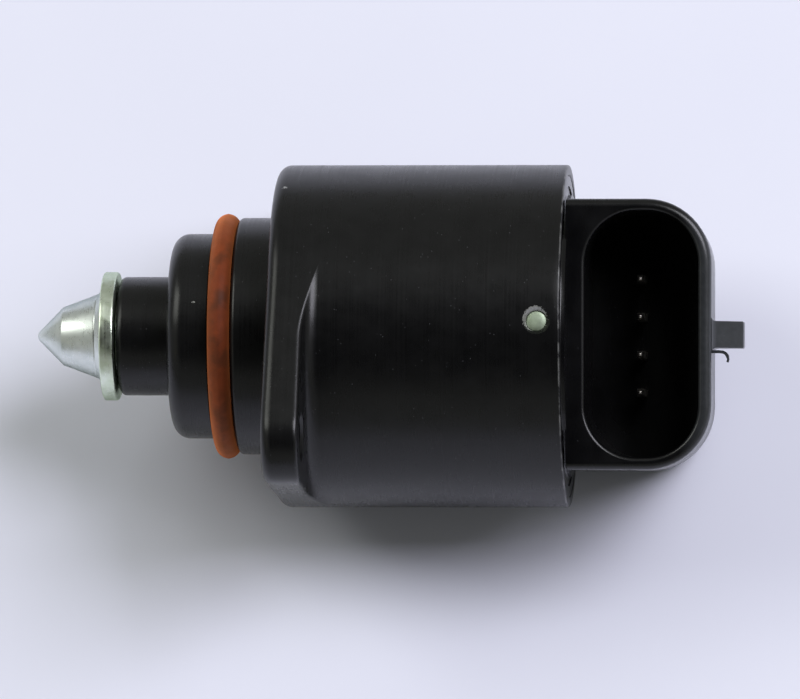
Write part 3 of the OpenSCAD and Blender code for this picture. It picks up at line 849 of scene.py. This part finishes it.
@dataclass
class Housing:
    """Metal body: nose, step, spigot, two-ear flange and can in one piece. Sizes in millimetres."""

    can_r: float = 18.0
    can_end: float = 30.5
    can_edge: float = 0.22
    bore_r: float = 16.9
    bore_x: float = 3.6
    bearing_r: float = 8.02
    bearing_x: float = -1.5
    shoulder_r: float = 6.9
    shoulder_x: float = -2.0
    spring_r: float = 5.42
    spring_x: float = -4.9
    mouth_r: float = 4.8
    nose_r: float = 6.25
    nose_x: float = -16.9
    nose_edge: float = 0.7
    step_r: float = 10.78
    step_x: float = -11.2
    step_edge: float = 1.7
    groove_r: float = 10.48
    groove_front: float = -6.75
    groove_back: float = -4.25
    spigot_r: float = 12.46
    spigot_edge: float = 0.5
    root: float = 0.25
    reach: float = 22.2
    ear_r: float = 4.9
    ear_turn: float = 36.164
    flange_t: float = 3.9
    fillet_r: float = 1.6
    front_on_can: float = 1.3
    front_on_ear: float = 1.2
    ear_edge: float = 0.6
    hole_r: float = 2.3
    hole_mouth: float = 1.35
    hole_sink: float = 1.6
    hole_l: float = 3.6
    pin_hole_r: float = 1.09
    pin_hole_sink: float = 0.76
    steps: int = 30

    def lean(self) -> float:
        """Angle from the ear line to where an ear's flank meets the can, in radians."""
        return math.acos((self.can_r - self.ear_r) / self.reach)

    def directions(self) -> list[float]:
        """Angles round one ear, closer together round its tip.

        Returns:
            Angles from the ear line in radians, from -90 to 90 degrees.
        """
        lean, n = self.lean(), self.steps
        around = [-lean + 2 * lean * i / n for i in range(n + 1)]
        tip = [math.atan2(self.ear_r * math.sin(a), self.reach + self.ear_r * math.cos(a)) for a in around]
        stops = [-math.pi / 2, -lean, tip[0], tip[-1], lean, math.pi / 2]
        out: list[float] = []
        for k in (0, 1, 3, 4):
            out += [stops[k] + (stops[k + 1] - stops[k]) * i / n for i in range(n)]
            if k == 1:
                out += tip[:-1]
        return out

    def rim(self, phi: float) -> float:
        """Distance of the flange's outline from the axis.

        Args:
            phi: Angle from the ear line in radians.

        Returns:
            The distance in millimetres.
        """
        lean, off = self.lean(), abs(phi)
        tip = math.atan2(self.ear_r * math.sin(lean), self.reach + self.ear_r * math.cos(lean))
        if off <= tip:
            return self.reach * math.cos(off) + math.sqrt(self.ear_r ** 2 - (self.reach * math.sin(off)) ** 2)
        return self.can_r / math.cos(lean - off) if off < lean else self.can_r

    def nose_outline(self) -> Outline:
        """Outer outline from the nose's mouth to the root of the spigot.

        Returns:
            Points as radius and station.
        """
        nose, step, spigot, root = self.nose_r, self.step_r, self.spigot_r, self.root
        front, back = self.groove_front, self.groove_back
        return [
            (self.mouth_r, self.nose_x + 0.12), (self.mouth_r + 0.12, self.nose_x),
            *arc(nose - self.nose_edge, self.nose_x + self.nose_edge, self.nose_edge, -90, 0, 8),
            (nose, -13.5),
            *bend((nose, self.step_x - root), (nose, self.step_x), (nose + root, self.step_x), 4),
            *arc(step - self.step_edge, self.step_x + self.step_edge, self.step_edge, -90, 0, 12),
            (step, front - 0.13), (step - 0.08, front - 0.02), (step - 0.18, front), (self.groove_r, front),
            (self.groove_r, back), (self.groove_r + 0.12, back),
            *arc(spigot - self.spigot_edge, back + self.spigot_edge, self.spigot_edge, -90, 0, 6),
            (spigot, -2.0),
            *bend((spigot, -root), (spigot, 0), (spigot + root, 0), 4),
        ]

    def flange_outline(self, rim: float) -> Outline:
        """Outer outline from the mounting face to the root of the can.

        Args:
            rim: Distance of the flange's outline from the axis.

        Returns:
            Points as radius and station, the same number for every rim.
        """
        rise = rim - self.can_r
        front = self.front_on_can + (self.front_on_ear - self.front_on_can) * min(1, rise / 2)
        back = self.ear_edge * min(1, rise / (self.fillet_r + self.ear_edge))
        high = min(rise - back, self.fillet_r)
        turn = math.acos(1 - high / self.fillet_r)
        top = self.flange_t + self.fillet_r * (1 - math.sin(turn))
        lift = back / math.tan(turn) if turn > 1e-3 else 0.0
        hollow = arc(self.can_r + self.fillet_r, self.flange_t + self.fillet_r, self.fillet_r,
                     180 + math.degrees(turn), 180, 10)
        return [
            (self.can_r - 1.4, 0),
            *arc(rim - front, front, front, -90, 0, 8),
            *bend((rim, top - lift - back), (rim, top - lift), (rim - back, top), 6),
            *hollow,
        ]

    def bore_outline(self) -> Outline:
        """Outline from the can's side through its rear edge and the bore to the nose's mouth.

        Returns:
            Points as radius and station.
        """
        edge, end, bore = self.can_edge, self.can_end, self.bore_r
        return [
            *((self.can_r, x) for x in (12, 20, 26, 29.5)),
            *arc(self.can_r - edge, end - edge, edge, 0, 90, 4), (bore + 0.1, end), (bore, end - 0.1),
            (bore, 26), (bore, 16), (bore, self.bore_x), (self.bearing_r, self.bore_x),
            (self.bearing_r, self.bearing_x), (self.shoulder_r, self.bearing_x),
            (self.shoulder_r, self.shoulder_x), (self.spring_r, self.shoulder_x),
            (self.spring_r, self.spring_x), (self.mouth_r, self.spring_x),
        ]

    def build(self) -> None:
        """Builds the body and cuts its bolt and pin holes."""
        rings = []
        for ear in (0.0, math.pi):
            for phi in self.directions():
                outline = self.nose_outline() + self.flange_outline(self.rim(phi)) + self.bore_outline()
                rings.append(at_angle(outline, phi + ear - math.radians(self.ear_turn)))
        obj = loft("valve_body", rings, looped=True)
        r, mouth, sink, deep = self.hole_r, self.hole_mouth, self.hole_sink, self.hole_l
        bolt_outline = [
            (0, -1), (r + mouth, -1), (r, mouth - 1), (r, deep), (r + sink, deep + sink), (0, deep + sink),
        ]
        cutters = []
        for ear in (0.0, math.pi):
            bolt = turned("bolt", bolt_outline, 64)
            a = ear - math.radians(self.ear_turn)
            bolt.data.transform(Matrix.Translation(Vector((0, math.cos(a), math.sin(a))) * self.reach * MM))
            cutters.append(bolt)
        r, sink, low, top = self.pin_hole_r, self.pin_hole_sink, self.bore_r - 1.4, self.can_r + 0.4
        cutters += PINS.drill([(0, low), (r, low), (r, top - sink), (r + sink, top), (0, top)])
        combine(obj, cutters, "DIFFERENCE")
        finish_piece(obj, "black_coat", Body.ROOT, ["housing"])


@dataclass
class ConnectorHousing:
    """Black moulding with the plug that closes the can and the side-facing socket. Sizes in millimetres."""

    x0: float = 30.7
    x1: float = 45.9
    width: float = 28.2
    near_r: float = 0.25
    far_r: float = 6.8
    base: float = -14.05
    base_side_r: float = 2.0
    base_end_r: float = 3.0
    base_steps: int = 12
    mouth: float = 11.0
    mouth_r: float = 0.8
    lip_r: float = 0.4
    cavity_x0: float = 32.7
    cavity_l: float = 11.8
    cavity_w: float = 25.7
    cavity_r: float = 5.4
    cavity_inset: float = 0.06
    floor: float = -4.0
    draft: float = 0.028
    corner_steps: int = 14
    plug_r: float = 16.85
    plug_x: float = 22.8
    seal_r: float = 15.3
    seal_front: float = 24.75
    seal_back: float = 26.45
    plug_end: float = 30.44
    recess_r: float = 15.72
    recess_x: float = 30.27
    disc_r: float = 14.8
    disc_x: float = 30.8
    bush_r: float = 4.42
    bush_x: float = 26.2
    lug_w: float = 2.8
    lug_x: float = 49.1
    lug_low: float = 4.2
    lug_top: float = 10.2
    lug_drop: float = 3.0
    curl_t: float = 0.16
    curl_tip: float = 0.11
    curl_low: float = 8.9
    curl_top: float = 9.7
    channel_t: float = 0.84
    window_w: float = 14.54
    window_h: float = 3.0
    window_x0: float = 22.0
    window_x1: float = 24.8
    pin_r: float = 1.09
    pin_low: float = 14.23
    pin_top: float = 17.5

    def outer(self, height: float, inset: float, end: float = 0.0) -> Ring:
        """Outer outline of the socket at a height.

        Args:
            height: Height towards the mouth.
            inset: Inset of the sides.
            end: Further inset of the end wall.

        Returns:
            The outline as a ring.
        """
        half, far = self.width / 2 - inset, self.x1 - inset - end - self.draft * (self.mouth - height)
        r = self.far_r - inset
        near, near_r = self.x0, self.near_r
        corners = [(near, -half, near_r), (far, -half, r), (far, half, r), (near, half, near_r)]
        plan = rounded(corners, self.corner_steps)
        return [(x, y, height) for x, y in plan]

    def inner(self, height: float, inset: float) -> Ring:
        """Outline of the cavity at a height.

        Args:
            height: Height towards the mouth.
            inset: Inset of its walls.

        Returns:
            The outline as a ring.
        """
        half, r = self.cavity_w / 2 - inset, self.cavity_r - inset
        near, far = self.cavity_x0 + inset, self.cavity_x0 + self.cavity_l - inset
        corners = [(near, -half), (far, -half), (far, half), (near, half)]
        plan = rounded([(x, y, r) for x, y in corners], self.corner_steps)
        return [(x, y, height) for x, y in plan]

    def socket(self) -> Thing:
        """The hollow socket block, with its base and mouth rounded.

        Returns:
            The block, upright.
        """
        side_r, end_r, steps = self.base_side_r, self.base_end_r, self.base_steps
        rings = []
        for i in range(steps + 1):
            rise = end_r * (1 - math.cos(math.radians(90 * i / steps)))
            side = side_r - math.sqrt(side_r ** 2 - max(0.0, side_r - rise) ** 2)
            end = end_r - math.sqrt(end_r ** 2 - (end_r - rise) ** 2)
            rings.append(self.outer(self.base + rise, side, max(0.0, end - side)))
        rings += [self.outer(height, 0.0) for height in (-4.0, 4.0)]
        round_mouth = arc(0, self.mouth - self.mouth_r, self.mouth_r, 180, 90, 8)
        rings += [self.outer(height, self.mouth_r + inset) for inset, height in round_mouth]
        round_lip = arc(0, self.mouth - self.lip_r, self.lip_r, 90, 0, 6)
        rings += [self.inner(height, inset - self.lip_r) for inset, height in round_lip]
        rings += [self.inner(height, self.cavity_inset) for height in (0.0, self.floor)]
        return loft("connector_moulding", rings)

    def plug(self) -> Thing:
        """The plug with its seal groove, raised disc and neck.

        Returns:
            The turned plug.
        """
        r, end, recess, disc = self.plug_r, self.plug_end, self.recess_x, self.disc_r
        return turned("plug", [
            (self.bush_r, self.plug_x), (r - 0.1, self.plug_x), (r, self.plug_x + 0.1), (r, self.seal_front),
            (self.seal_r, self.seal_front), (self.seal_r, self.seal_back), (r, self.seal_back),
            (r, end - 0.05), (r - 0.05, end), (r - 1.0, end), (self.recess_r + 0.05, end - 0.03),
            (self.recess_r, recess), *bend((disc + 0.3, recess), (disc, recess), (disc, recess + 0.2), 4),
            (disc, self.disc_x), (0, self.disc_x), (0, self.bush_x), (self.bush_r, self.bush_x),
        ])

    def lug(self) -> Thing:
        """The ramp that the plug latch snaps over, with a flared root.

        Returns:
            The lug, which reaches into the end wall.
        """
        near, far = self.x1, self.lug_x
        stations = [
            (near - 0.7, 0.3), (near, 0.3), (near + 0.1, 0.14), (near + 0.25, 0.04), (near + 0.5, 0.0),
            (near + 1.9, 0.0), (far - 0.12, 0.0), (far - 0.03, -0.06), (far, -0.14),
        ]
        rings = []
        for x, grow in stations:
            top = self.lug_top - self.lug_drop * max(0.0, x - near) / (far - near) + grow
            half = self.lug_w / 2 + grow
            low = self.lug_low - grow
            plan = rounded([(-half, low, 0.12), (half, low, 0.12), (half, top, 0.12), (-half, top, 0.12)], 3)
            rings.append([(x, y, z) for y, z in plan])
        return loft("lug", rings)

    def flash(self) -> Thing:
        """The curl of moulding flash under the lug.

        Returns:
            The curl, which reaches into the end wall.
        """
        path = [
            (45.5, -1.8), (46.6, -1.8), (47.0, -1.84), (47.3, -1.98),
            (47.5, -2.25), (47.58, -2.6), (47.5, -2.9),
        ]
        rings = []
        for i, here in enumerate(path):
            ahead = Vector(path[min(i + 1, len(path) - 1)]) - Vector(path[max(i - 1, 0)])
            half = self.curl_t if i < len(path) - 2 else self.curl_tip
            side = Vector((-ahead.y, ahead.x)).normalized() * half
            a, b = Vector(here) + side, Vector(here) - side
            low, top = self.curl_low, self.curl_top
            rings.append([(a.x, a.y, low), (b.x, b.y, low), (b.x, b.y, top), (a.x, a.y, top)])
        return loft("flash", rings)

    def channels(self) -> list[Thing]:
        """Room for the four terminals and the coil block.

        Returns:
            The tools that cut it.
        """
        half, x0, x1 = self.channel_t / 2, self.window_x0, ROW.x + self.channel_t / 2
        near, low, high, top = x1 - self.channel_t, ROW.level - half, ROW.level + half, self.floor + 1
        outline = [(x0, low), (x1, low), (x1, top), (near, top), (near, high), (x0, high)]
        out = [loft("channel", [[(x, y + side, z) for x, z in outline] for side in (-half, half)])
               for y in ROW.places()]
        half_w, low, high = self.window_w / 2, ROW.level - self.window_h / 2, ROW.level + self.window_h / 2
        window = [(-half_w, low), (half_w, low), (half_w, high), (-half_w, high)]
        out.append(loft("window", [[(x, y, z) for y, z in window] for x in (x0, self.window_x1)]))
        return out

    def build(self) -> None:
        """Builds the moulding as one piece."""
        obj = self.socket()
        combine(obj, [self.plug(), self.lug(), self.flash()], "UNION")
        pin = [(0, self.pin_low), (self.pin_r, self.pin_low), (self.pin_r, self.pin_top), (0, self.pin_top)]
        combine(obj, self.channels() + PINS.drill(pin, ROW.turn), "DIFFERENCE")
        obj.data.transform(Matrix.Rotation(math.radians(ROW.turn), 4, "X"))
        finish_piece(obj, "black_moulding", Body.ROOT, ["connector_housing"])


@dataclass
class FlangeRing:
    """Sealing ring of round cord with a fine parting ridge. Sizes in millimetres."""

    mean_r: float = 11.7
    cord_r: float = 1.2
    x: float = -5.5
    ridge: float = 0.03
    ridge_slope: float = 6.0
    cord_steps: int = 48
    ring_steps: int = 216

    def build(self) -> None:
        """Builds the ring."""
        cord = []
        for k in range(self.cord_steps):
            a = 2 * math.pi * k / self.cord_steps
            r = self.cord_r - self.ridge + self.ridge * max(0.0, 1 - abs(math.sin(a)) * self.ridge_slope)
            cord.append((self.mean_r + r * math.cos(a), self.x + r * math.sin(a)))
        ring = turned("sealing_ring", cord, self.ring_steps)
        finish_piece(ring, "orange_rubber", Body.ROOT, ["flange_ring"], 60)


@dataclass
class RetainingPins:
    """Three pins that hold the plug, each with a domed head. Sizes in millimetres."""

    r: float = 1.07
    low: float = 14.25
    top: float = 17.6
    chamfer: float = 0.1
    edge: float = 0.16
    dome: float = 0.22

    def build(self) -> None:
        """Builds the pins."""
        outline = [
            (0, self.low), (self.r - self.chamfer, self.low), (self.r, self.low + self.chamfer),
            *arc(self.r - self.edge, self.top - self.dome, self.edge, 0, 75, 4),
            (0.6, self.top - 0.02), (0.3, self.top), (0, self.top),
        ]
        for i, turn in enumerate(PINS.turns, 1):
            pin = outward(turned(f"pin_{i}", outline, 48), PINS.x, turn)
            finish_piece(pin, "zinc_plate", Body.ROOT, [f"retaining_pin_{i}"], 50, "dull_zinc")


@dataclass
class Terminals:
    """Four bent square terminals with tapered tips. Sizes in millimetres."""

    t: float = 0.8
    corner_r: float = 0.07
    x0: float = 24.6
    top: float = 3.5
    bend_steps: int = 8

    def section(self, middle: float, base: Sequence[float], angle: float, scale: float = 1.0) -> Ring:
        """The wire's section at one place of its path.

        Args:
            middle: Place across the valve.
            base: Place of the section's inner side, as station and height.
            angle: Turn of the section in degrees.
            scale: Size of the section.

        Returns:
            The section as a ring.
        """
        half = self.t / 2
        a = math.radians(angle)
        corners = ((0, -half), (self.t, -half), (self.t, half), (0, half))
        wire = rounded([(u, v, self.corner_r) for u, v in corners], 3)
        out = [(half + (u - half) * scale, v * scale) for u, v in wire]
        return [(base[0] + u * math.sin(a), middle + v, base[1] - u * math.cos(a)) for u, v in out]

    def build(self) -> None:
        """Builds the terminals."""
        inner_x, inner_z, steps = ROW.x - self.t / 2, ROW.level + self.t / 2, self.bend_steps
        for i, middle in enumerate(ROW.places(), 1):
            rings = []
            for run, scale in ((0, 0.8), (0.1, 1)):
                rings.append(self.section(middle, (self.x0 + run, inner_z), 0, scale))
            rings += [self.section(middle, (inner_x, inner_z), 90 * k / steps) for k in range(steps + 1)]
            for down, scale in ((1.0, 1.0), (0.25, 0.6), (0.14, 0.52), (0.06, 0.4), (0.0, 0.16)):
                rings.append(self.section(middle, (inner_x, self.top - down), 90, scale))
            obj = loft(f"blade_{i}", rings)
            obj.data.transform(Matrix.Rotation(math.radians(ROW.turn), 4, "X"))
            finish_piece(obj, "tin_plate", Body.ROOT, [f"terminal_{i}"])


@dataclass
class Pintle:
    """Turned cone with its flared foot and its shank. Sizes in millimetres."""

    tip_x: float = -25.7
    tip_r: float = 0.75
    middle_r: float = 3.1
    middle_x: float = -22.95
    land_r: float = 4.42
    land_x: float = -19.44
    flare_r: float = 4.92
    flare_x: float = -18.76
    seat_x: float = -18.62
    shank_r: float = 3.0
    shank_x: float = -14.9
    bore_r: float = 2.02
    bore_x: float = -21.95

    def build(self) -> None:
        """Builds the cone."""
        obj = turned("pintle_cone", [
            *arc(0, self.tip_x + self.tip_r, self.tip_r, -90, -45, 8),
            (self.middle_r - 0.06, self.middle_x - 0.07), (self.middle_r + 0.01, self.middle_x + 0.07),
            (self.land_r - 0.06, self.land_x - 0.08), (self.land_r, self.land_x),
            (self.land_r + 0.02, self.land_x + 0.14), (self.flare_r - 0.06, self.flare_x - 0.08),
            (self.flare_r, self.flare_x), (self.flare_r, self.seat_x), (self.shank_r, self.seat_x),
            (self.shank_r, self.shank_x - 0.1), (self.shank_r - 0.1, self.shank_x),
            (self.bore_r, self.shank_x), (self.bore_r, self.bore_x), (0, self.bore_x),
        ])
        finish_piece(obj, "turned_alloy", Body.STEM, ["pintle"], 20)


@dataclass
class Collar:
    """Plated collar with a scored face, and the guide sleeve behind it. Sizes in millimetres."""

    rim_r: float = 6.77
    edge: float = 0.22
    x0: float = -18.62
    x1: float = -17.1
    score_r: float = 5.75
    score_w: float = 0.3
    score_depth: float = 0.05
    sleeve_r: float = 4.7
    sleeve_x: float = -5.7
    cup_r: float = 3.9
    cup_x: float = -16.2
    bore_r: float = 3.02

    def build(self) -> None:
        """Builds the collar."""
        mid, half = self.rim_r - self.edge, self.score_w / 2
        obj = turned("plated_collar", [
            (self.bore_r, self.x0), (self.score_r - half, self.x0),
            (self.score_r, self.x0 + self.score_depth), (self.score_r + half, self.x0),
            *arc(mid, self.x0 + self.edge, self.edge, -90, 0, 5),
            *arc(mid, self.x1 - self.edge, self.edge, 0, 90, 5),
            (self.sleeve_r + 0.1, self.x1), (self.sleeve_r, self.x1 + 0.1),
            (self.sleeve_r, self.sleeve_x - 0.15), (self.sleeve_r - 0.15, self.sleeve_x),
            (self.cup_r, self.sleeve_x), (self.cup_r, self.cup_x), (self.bore_r, self.cup_x),
        ])
        finish_piece(obj, "zinc_plate", Body.STEM, ["pintle_collar"], 50)


@dataclass
class LeadScrew:
    """Screw with its two-start thread and the flats that the guide bush holds. Sizes in millimetres."""

    x0: float = -21.95
    x1: float = 24.0
    crest_r: float = 2.0
    root_r: float = 1.6
    lead: float = 2.0
    starts: int = 2
    thread_x0: float = 7.0
    flank: float = 1.9
    root_share: float = 0.35
    run_in: float = 0.6
    chamfer: float = 0.35
    flats: tuple[float, float] = (-6.9, 6.2)
    flats_w: float = 3.0
    flats_run: float = 0.15
    step: float = 0.1
    sides: int = 48

    def radius(self, x: float, a: float) -> float:
        """Distance of the thread from the axis.

        Args:
            x: Station.
            a: Angle about the axis in radians.

        Returns:
            The distance in millimetres.
        """
        depth = self.crest_r - self.root_r
        phase = (x / self.lead - a / (2 * math.pi)) * self.starts % 1
        rise = min(1.0, max(0.0, self.flank * abs(2 * phase - 1) - self.root_share))
        cut = min(1.0, (x - self.thread_x0) / self.run_in)
        end = min(1.0, (self.x1 - x) / self.chamfer)
        return min(self.crest_r - depth * (1 - rise) * cut, self.root_r + depth * end)

    def ring(self, x: float, half_w: float) -> Ring:
        """Plain section of the screw, cut to a width.

        Args:
            x: Station.
            half_w: Half of the width.

        Returns:
            The section as a ring.
        """
        angles = [2 * math.pi * k / self.sides for k in range(self.sides)]
        r = self.crest_r
        return [(x, r * math.cos(a), max(-half_w, min(half_w, r * math.sin(a)))) for a in angles]

    def build(self) -> None:
        """Builds the screw."""
        half_w, (first, last) = self.flats_w / 2, self.flats
        rings = [self.ring(x, self.crest_r) for x in (self.x0, first)]
        rings += [self.ring(x, half_w) for x in (first + self.flats_run, last - self.flats_run)]
        rings.append(self.ring(last, self.crest_r))
        angles = [2 * math.pi * k / self.sides for k in range(self.sides)]
        for i in range(round((self.x1 - self.thread_x0) / self.step) + 1):
            x = self.thread_x0 + i * self.step
            thread = [(self.radius(x, a), a) for a in angles]
            rings.append([(x, r * math.cos(a), r * math.sin(a)) for r, a in thread])
        finish_piece(loft("threaded_screw", rings), "steel", Body.STEM, ["lead_screw"])


@dataclass
class PreloadSpring:
    """Coil spring with closed ends. Sizes in millimetres."""

    wire_r: float = 0.25
    mean_r: float = 3.5
    x0: float = -15.7
    x1: float = -5.2
    turns: int = 6
    closed: float = 0.52
    turn_steps: int = 40
    sides: int = 12

    def station(self, turn: float) -> float:
        """Station of the wire, with the first and the last turn closed.

        Args:
            turn: Turns from the start of the wire.

        Returns:
            The station in millimetres.
        """
        open_pitch = (self.x1 - self.x0 - 2 * self.closed) / (self.turns - 2)
        middle = max(0.0, min(self.turns - 2.0, turn - 1))
        return self.x0 + self.closed * (turn - middle) + open_pitch * middle

    def build(self) -> None:
        """Builds the spring."""
        rings = []
        for k in range(self.turns * self.turn_steps + 1):
            a = 2 * math.pi * k / self.turn_steps
            x = self.station(k / self.turn_steps)
            rings.append([
                (x + self.wire_r * math.sin(b), (self.mean_r + self.wire_r * math.cos(b)) * math.sin(a),
                 (self.mean_r + self.wire_r * math.cos(b)) * math.cos(a))
                for b in (2 * math.pi * j / self.sides for j in range(self.sides))
            ])
        finish_piece(loft("pintle_spring", rings), "spring_steel", Body.ROOT, ["preload_spring"])


@dataclass
class Windings:
    """The two coils, with the top layer of their wire. Sizes in millimetres."""

    wire_d: float = 0.34
    inner_r: float = 9.65
    wire_steps: int = 6
    segments: int = 96

    def build(self) -> None:
        """Builds both coils."""
        for node, name in (("coil_front", "winding_front"), ("coil_rear", "winding_rear")):
            low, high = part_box(node)
            x0, x1, top = low[0] / MM, high[0] / MM, high[2] / MM
            count = round((x1 - x0) / self.wire_d)
            half = (x1 - x0) / count / 2
            outline: Outline = [(self.inner_r, x0)]
            for i in range(count):
                crest = arc(x0 + (2 * i + 1) * half, top - half, half, 180, 0, self.wire_steps)
                outline += [(r, x) for x, r in crest[:-1]]
            outline += [(top - half, x1), (self.inner_r, x1)]
            finish_piece(turned(name, outline, self.segments), "copper_winding", Body.ROOT, [node], 80)


# Stage


@dataclass(frozen=True)
class Lamp:
    """Square soft lamp that points at the valve. Distance and size in metres, power in watts."""

    name: str
    aim: tuple[float, float, float]
    far: float
    size: float
    power: float
    tint: Colour

    def build(self) -> None:
        """Adds the lamp to the scene."""
        data = bpy.data.lights.new(self.name, "AREA")
        data.size = self.size
        data.energy = self.power
        data.color = self.tint
        obj = bpy.data.objects.new(self.name, data)
        obj.location = Vector(self.aim).normalized() * self.far
        obj.rotation_euler = (-obj.location).to_track_quat("-Z", "Y").to_euler()
        bpy.context.scene.collection.objects.link(obj)


LAMPS = (
    Lamp("right_window", (0.62, 0.12, 0.77), far=1.2, size=0.6, power=9.8, tint=(0.90, 0.89, 1.0)),
    Lamp("left_window", (-0.64, 0.24, 0.73), far=1.1, size=0.6, power=3.8, tint=(0.98, 1.0, 0.94)),
    Lamp("desk_lamp", (-0.70, -0.49, 0.53), far=1.0, size=0.06, power=0.03, tint=(1.0, 0.85, 0.3)),
    Lamp("ceiling", (0.33, 0.12, 0.93), far=1.2, size=0.4, power=2.1, tint=(0.95, 0.97, 1.0)),
)


@dataclass
class Studio:
    """Pale floor, soft light and the camera at the photo's viewing angle. Lengths in millimetres."""

    table_z: float = -18.01
    floor_size: float = 3000.0
    floor_low: Colour = (0.79, 0.80, 0.91)
    floor_high: Colour = (0.81, 0.82, 0.93)
    floor_rough: float = 0.6
    floor_per_mm: float = 0.02
    tilt: float = 4.5
    lean: float = 25.7
    centre_x: float = 12.6
    centre_v: float = -1.4
    frame_w: float = 84.2
    distance: float = 1000.0
    sensor: float = 36.0
    clip: tuple[float, float] = (50.0, 20000.0)
    surround: Colour = (0.98, 1.0, 0.94)
    surround_level: float = 0.33
    dark_from: float = 43.0
    dark_to: float = 24.0

    def axes(self) -> tuple[Vector, Vector, Vector]:
        """Directions of the camera in the object's frame.

        Returns:
            Its right, its up and its back.
        """
        lean, tilt = math.radians(self.lean), math.radians(self.tilt)
        up = Vector((0, math.cos(lean), math.sin(lean)))
        back = Vector((math.sin(tilt), -math.sin(lean) * math.cos(tilt), math.cos(lean) * math.cos(tilt)))
        return up.cross(back).normalized(), up, back

    def camera(self) -> None:
        """Creates the camera and makes it the scene's own."""
        right, up, back = self.axes()
        target = (Vector((self.centre_x, 0, 0)) + up * self.centre_v) * MM
        data = bpy.data.cameras.new("camera")
        data.sensor_width = self.sensor
        data.lens = self.sensor * self.distance / self.frame_w
        data.clip_start, data.clip_end = (far * MM for far in self.clip)
        obj = bpy.data.objects.new("camera", data)
        turn = Matrix((right, up, back)).transposed().to_4x4()
        obj.matrix_world = Matrix.Translation(target + back * self.distance * MM) @ turn
        bpy.context.scene.collection.objects.link(obj)
        bpy.context.scene.camera = obj

    def floor(self) -> None:
        """Creates the pale floor under the valve."""
        half = self.floor_size / 2
        corners = [(-half, -half), (half, -half), (half, half), (-half, half)]
        obj = mesh_from("floor", [(x, y, self.table_z) for x, y in corners], [(0, 1, 2, 3)])
        g = Graph("pale_table")
        patches = g.spread(g.noise(self.floor_per_mm, 3), 0, 1)
        g.feed(g.blend(patches, self.floor_low, self.floor_high), "Base Color")
        g.set(roughness=self.floor_rough)
        obj.data.materials.append(g.material)

    def world(self) -> None:
        """Sets a pale surround that is dark behind the camera."""
        world = bpy.data.worlds.new("surround")
        bpy.context.scene.world = world
        world.use_nodes = True
        tree = world.node_tree
        shade = tree.nodes["Background"]
        shade.inputs["Color"].default_value = (*self.surround, 1)
        place = tree.nodes.new("ShaderNodeTexCoord")
        near = tree.nodes.new("ShaderNodeVectorMath")
        near.operation = "DOT_PRODUCT"
        near.inputs[1].default_value = self.axes()[2]
        level = tree.nodes.new("ShaderNodeMapRange")
        level.inputs["From Min"].default_value = math.cos(math.radians(self.dark_from))
        level.inputs["From Max"].default_value = math.cos(math.radians(self.dark_to))
        level.inputs["To Min"].default_value = self.surround_level
        level.inputs["To Max"].default_value = 0.0
        tree.links.new(place.outputs["Generated"], near.inputs[0])
        tree.links.new(near.outputs["Value"], level.inputs["Value"])
        tree.links.new(level.outputs["Result"], shade.inputs["Strength"])

    def build(self) -> None:
        """Builds the whole stage."""
        self.camera()
        self.floor()
        self.world()
        for lamp in LAMPS:
            lamp.build()
        bpy.context.scene.view_settings.view_transform = "Standard"


def main() -> None:
    """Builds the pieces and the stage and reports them."""
    logging.basicConfig(level=logging.INFO, format="%(message)s")
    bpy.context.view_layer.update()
    paint_frame()
    assemblies = (
        Housing(), FlangeRing(), ConnectorHousing(), RetainingPins(), Terminals(), Pintle(), Collar(),
        LeadScrew(), PreloadSpring(), Windings(), Studio(),
    )
    for assembly in assemblies:
        assembly.build()
        log.info("built %s", type(assembly).__name__)


if __name__ == "__main__":
    main()
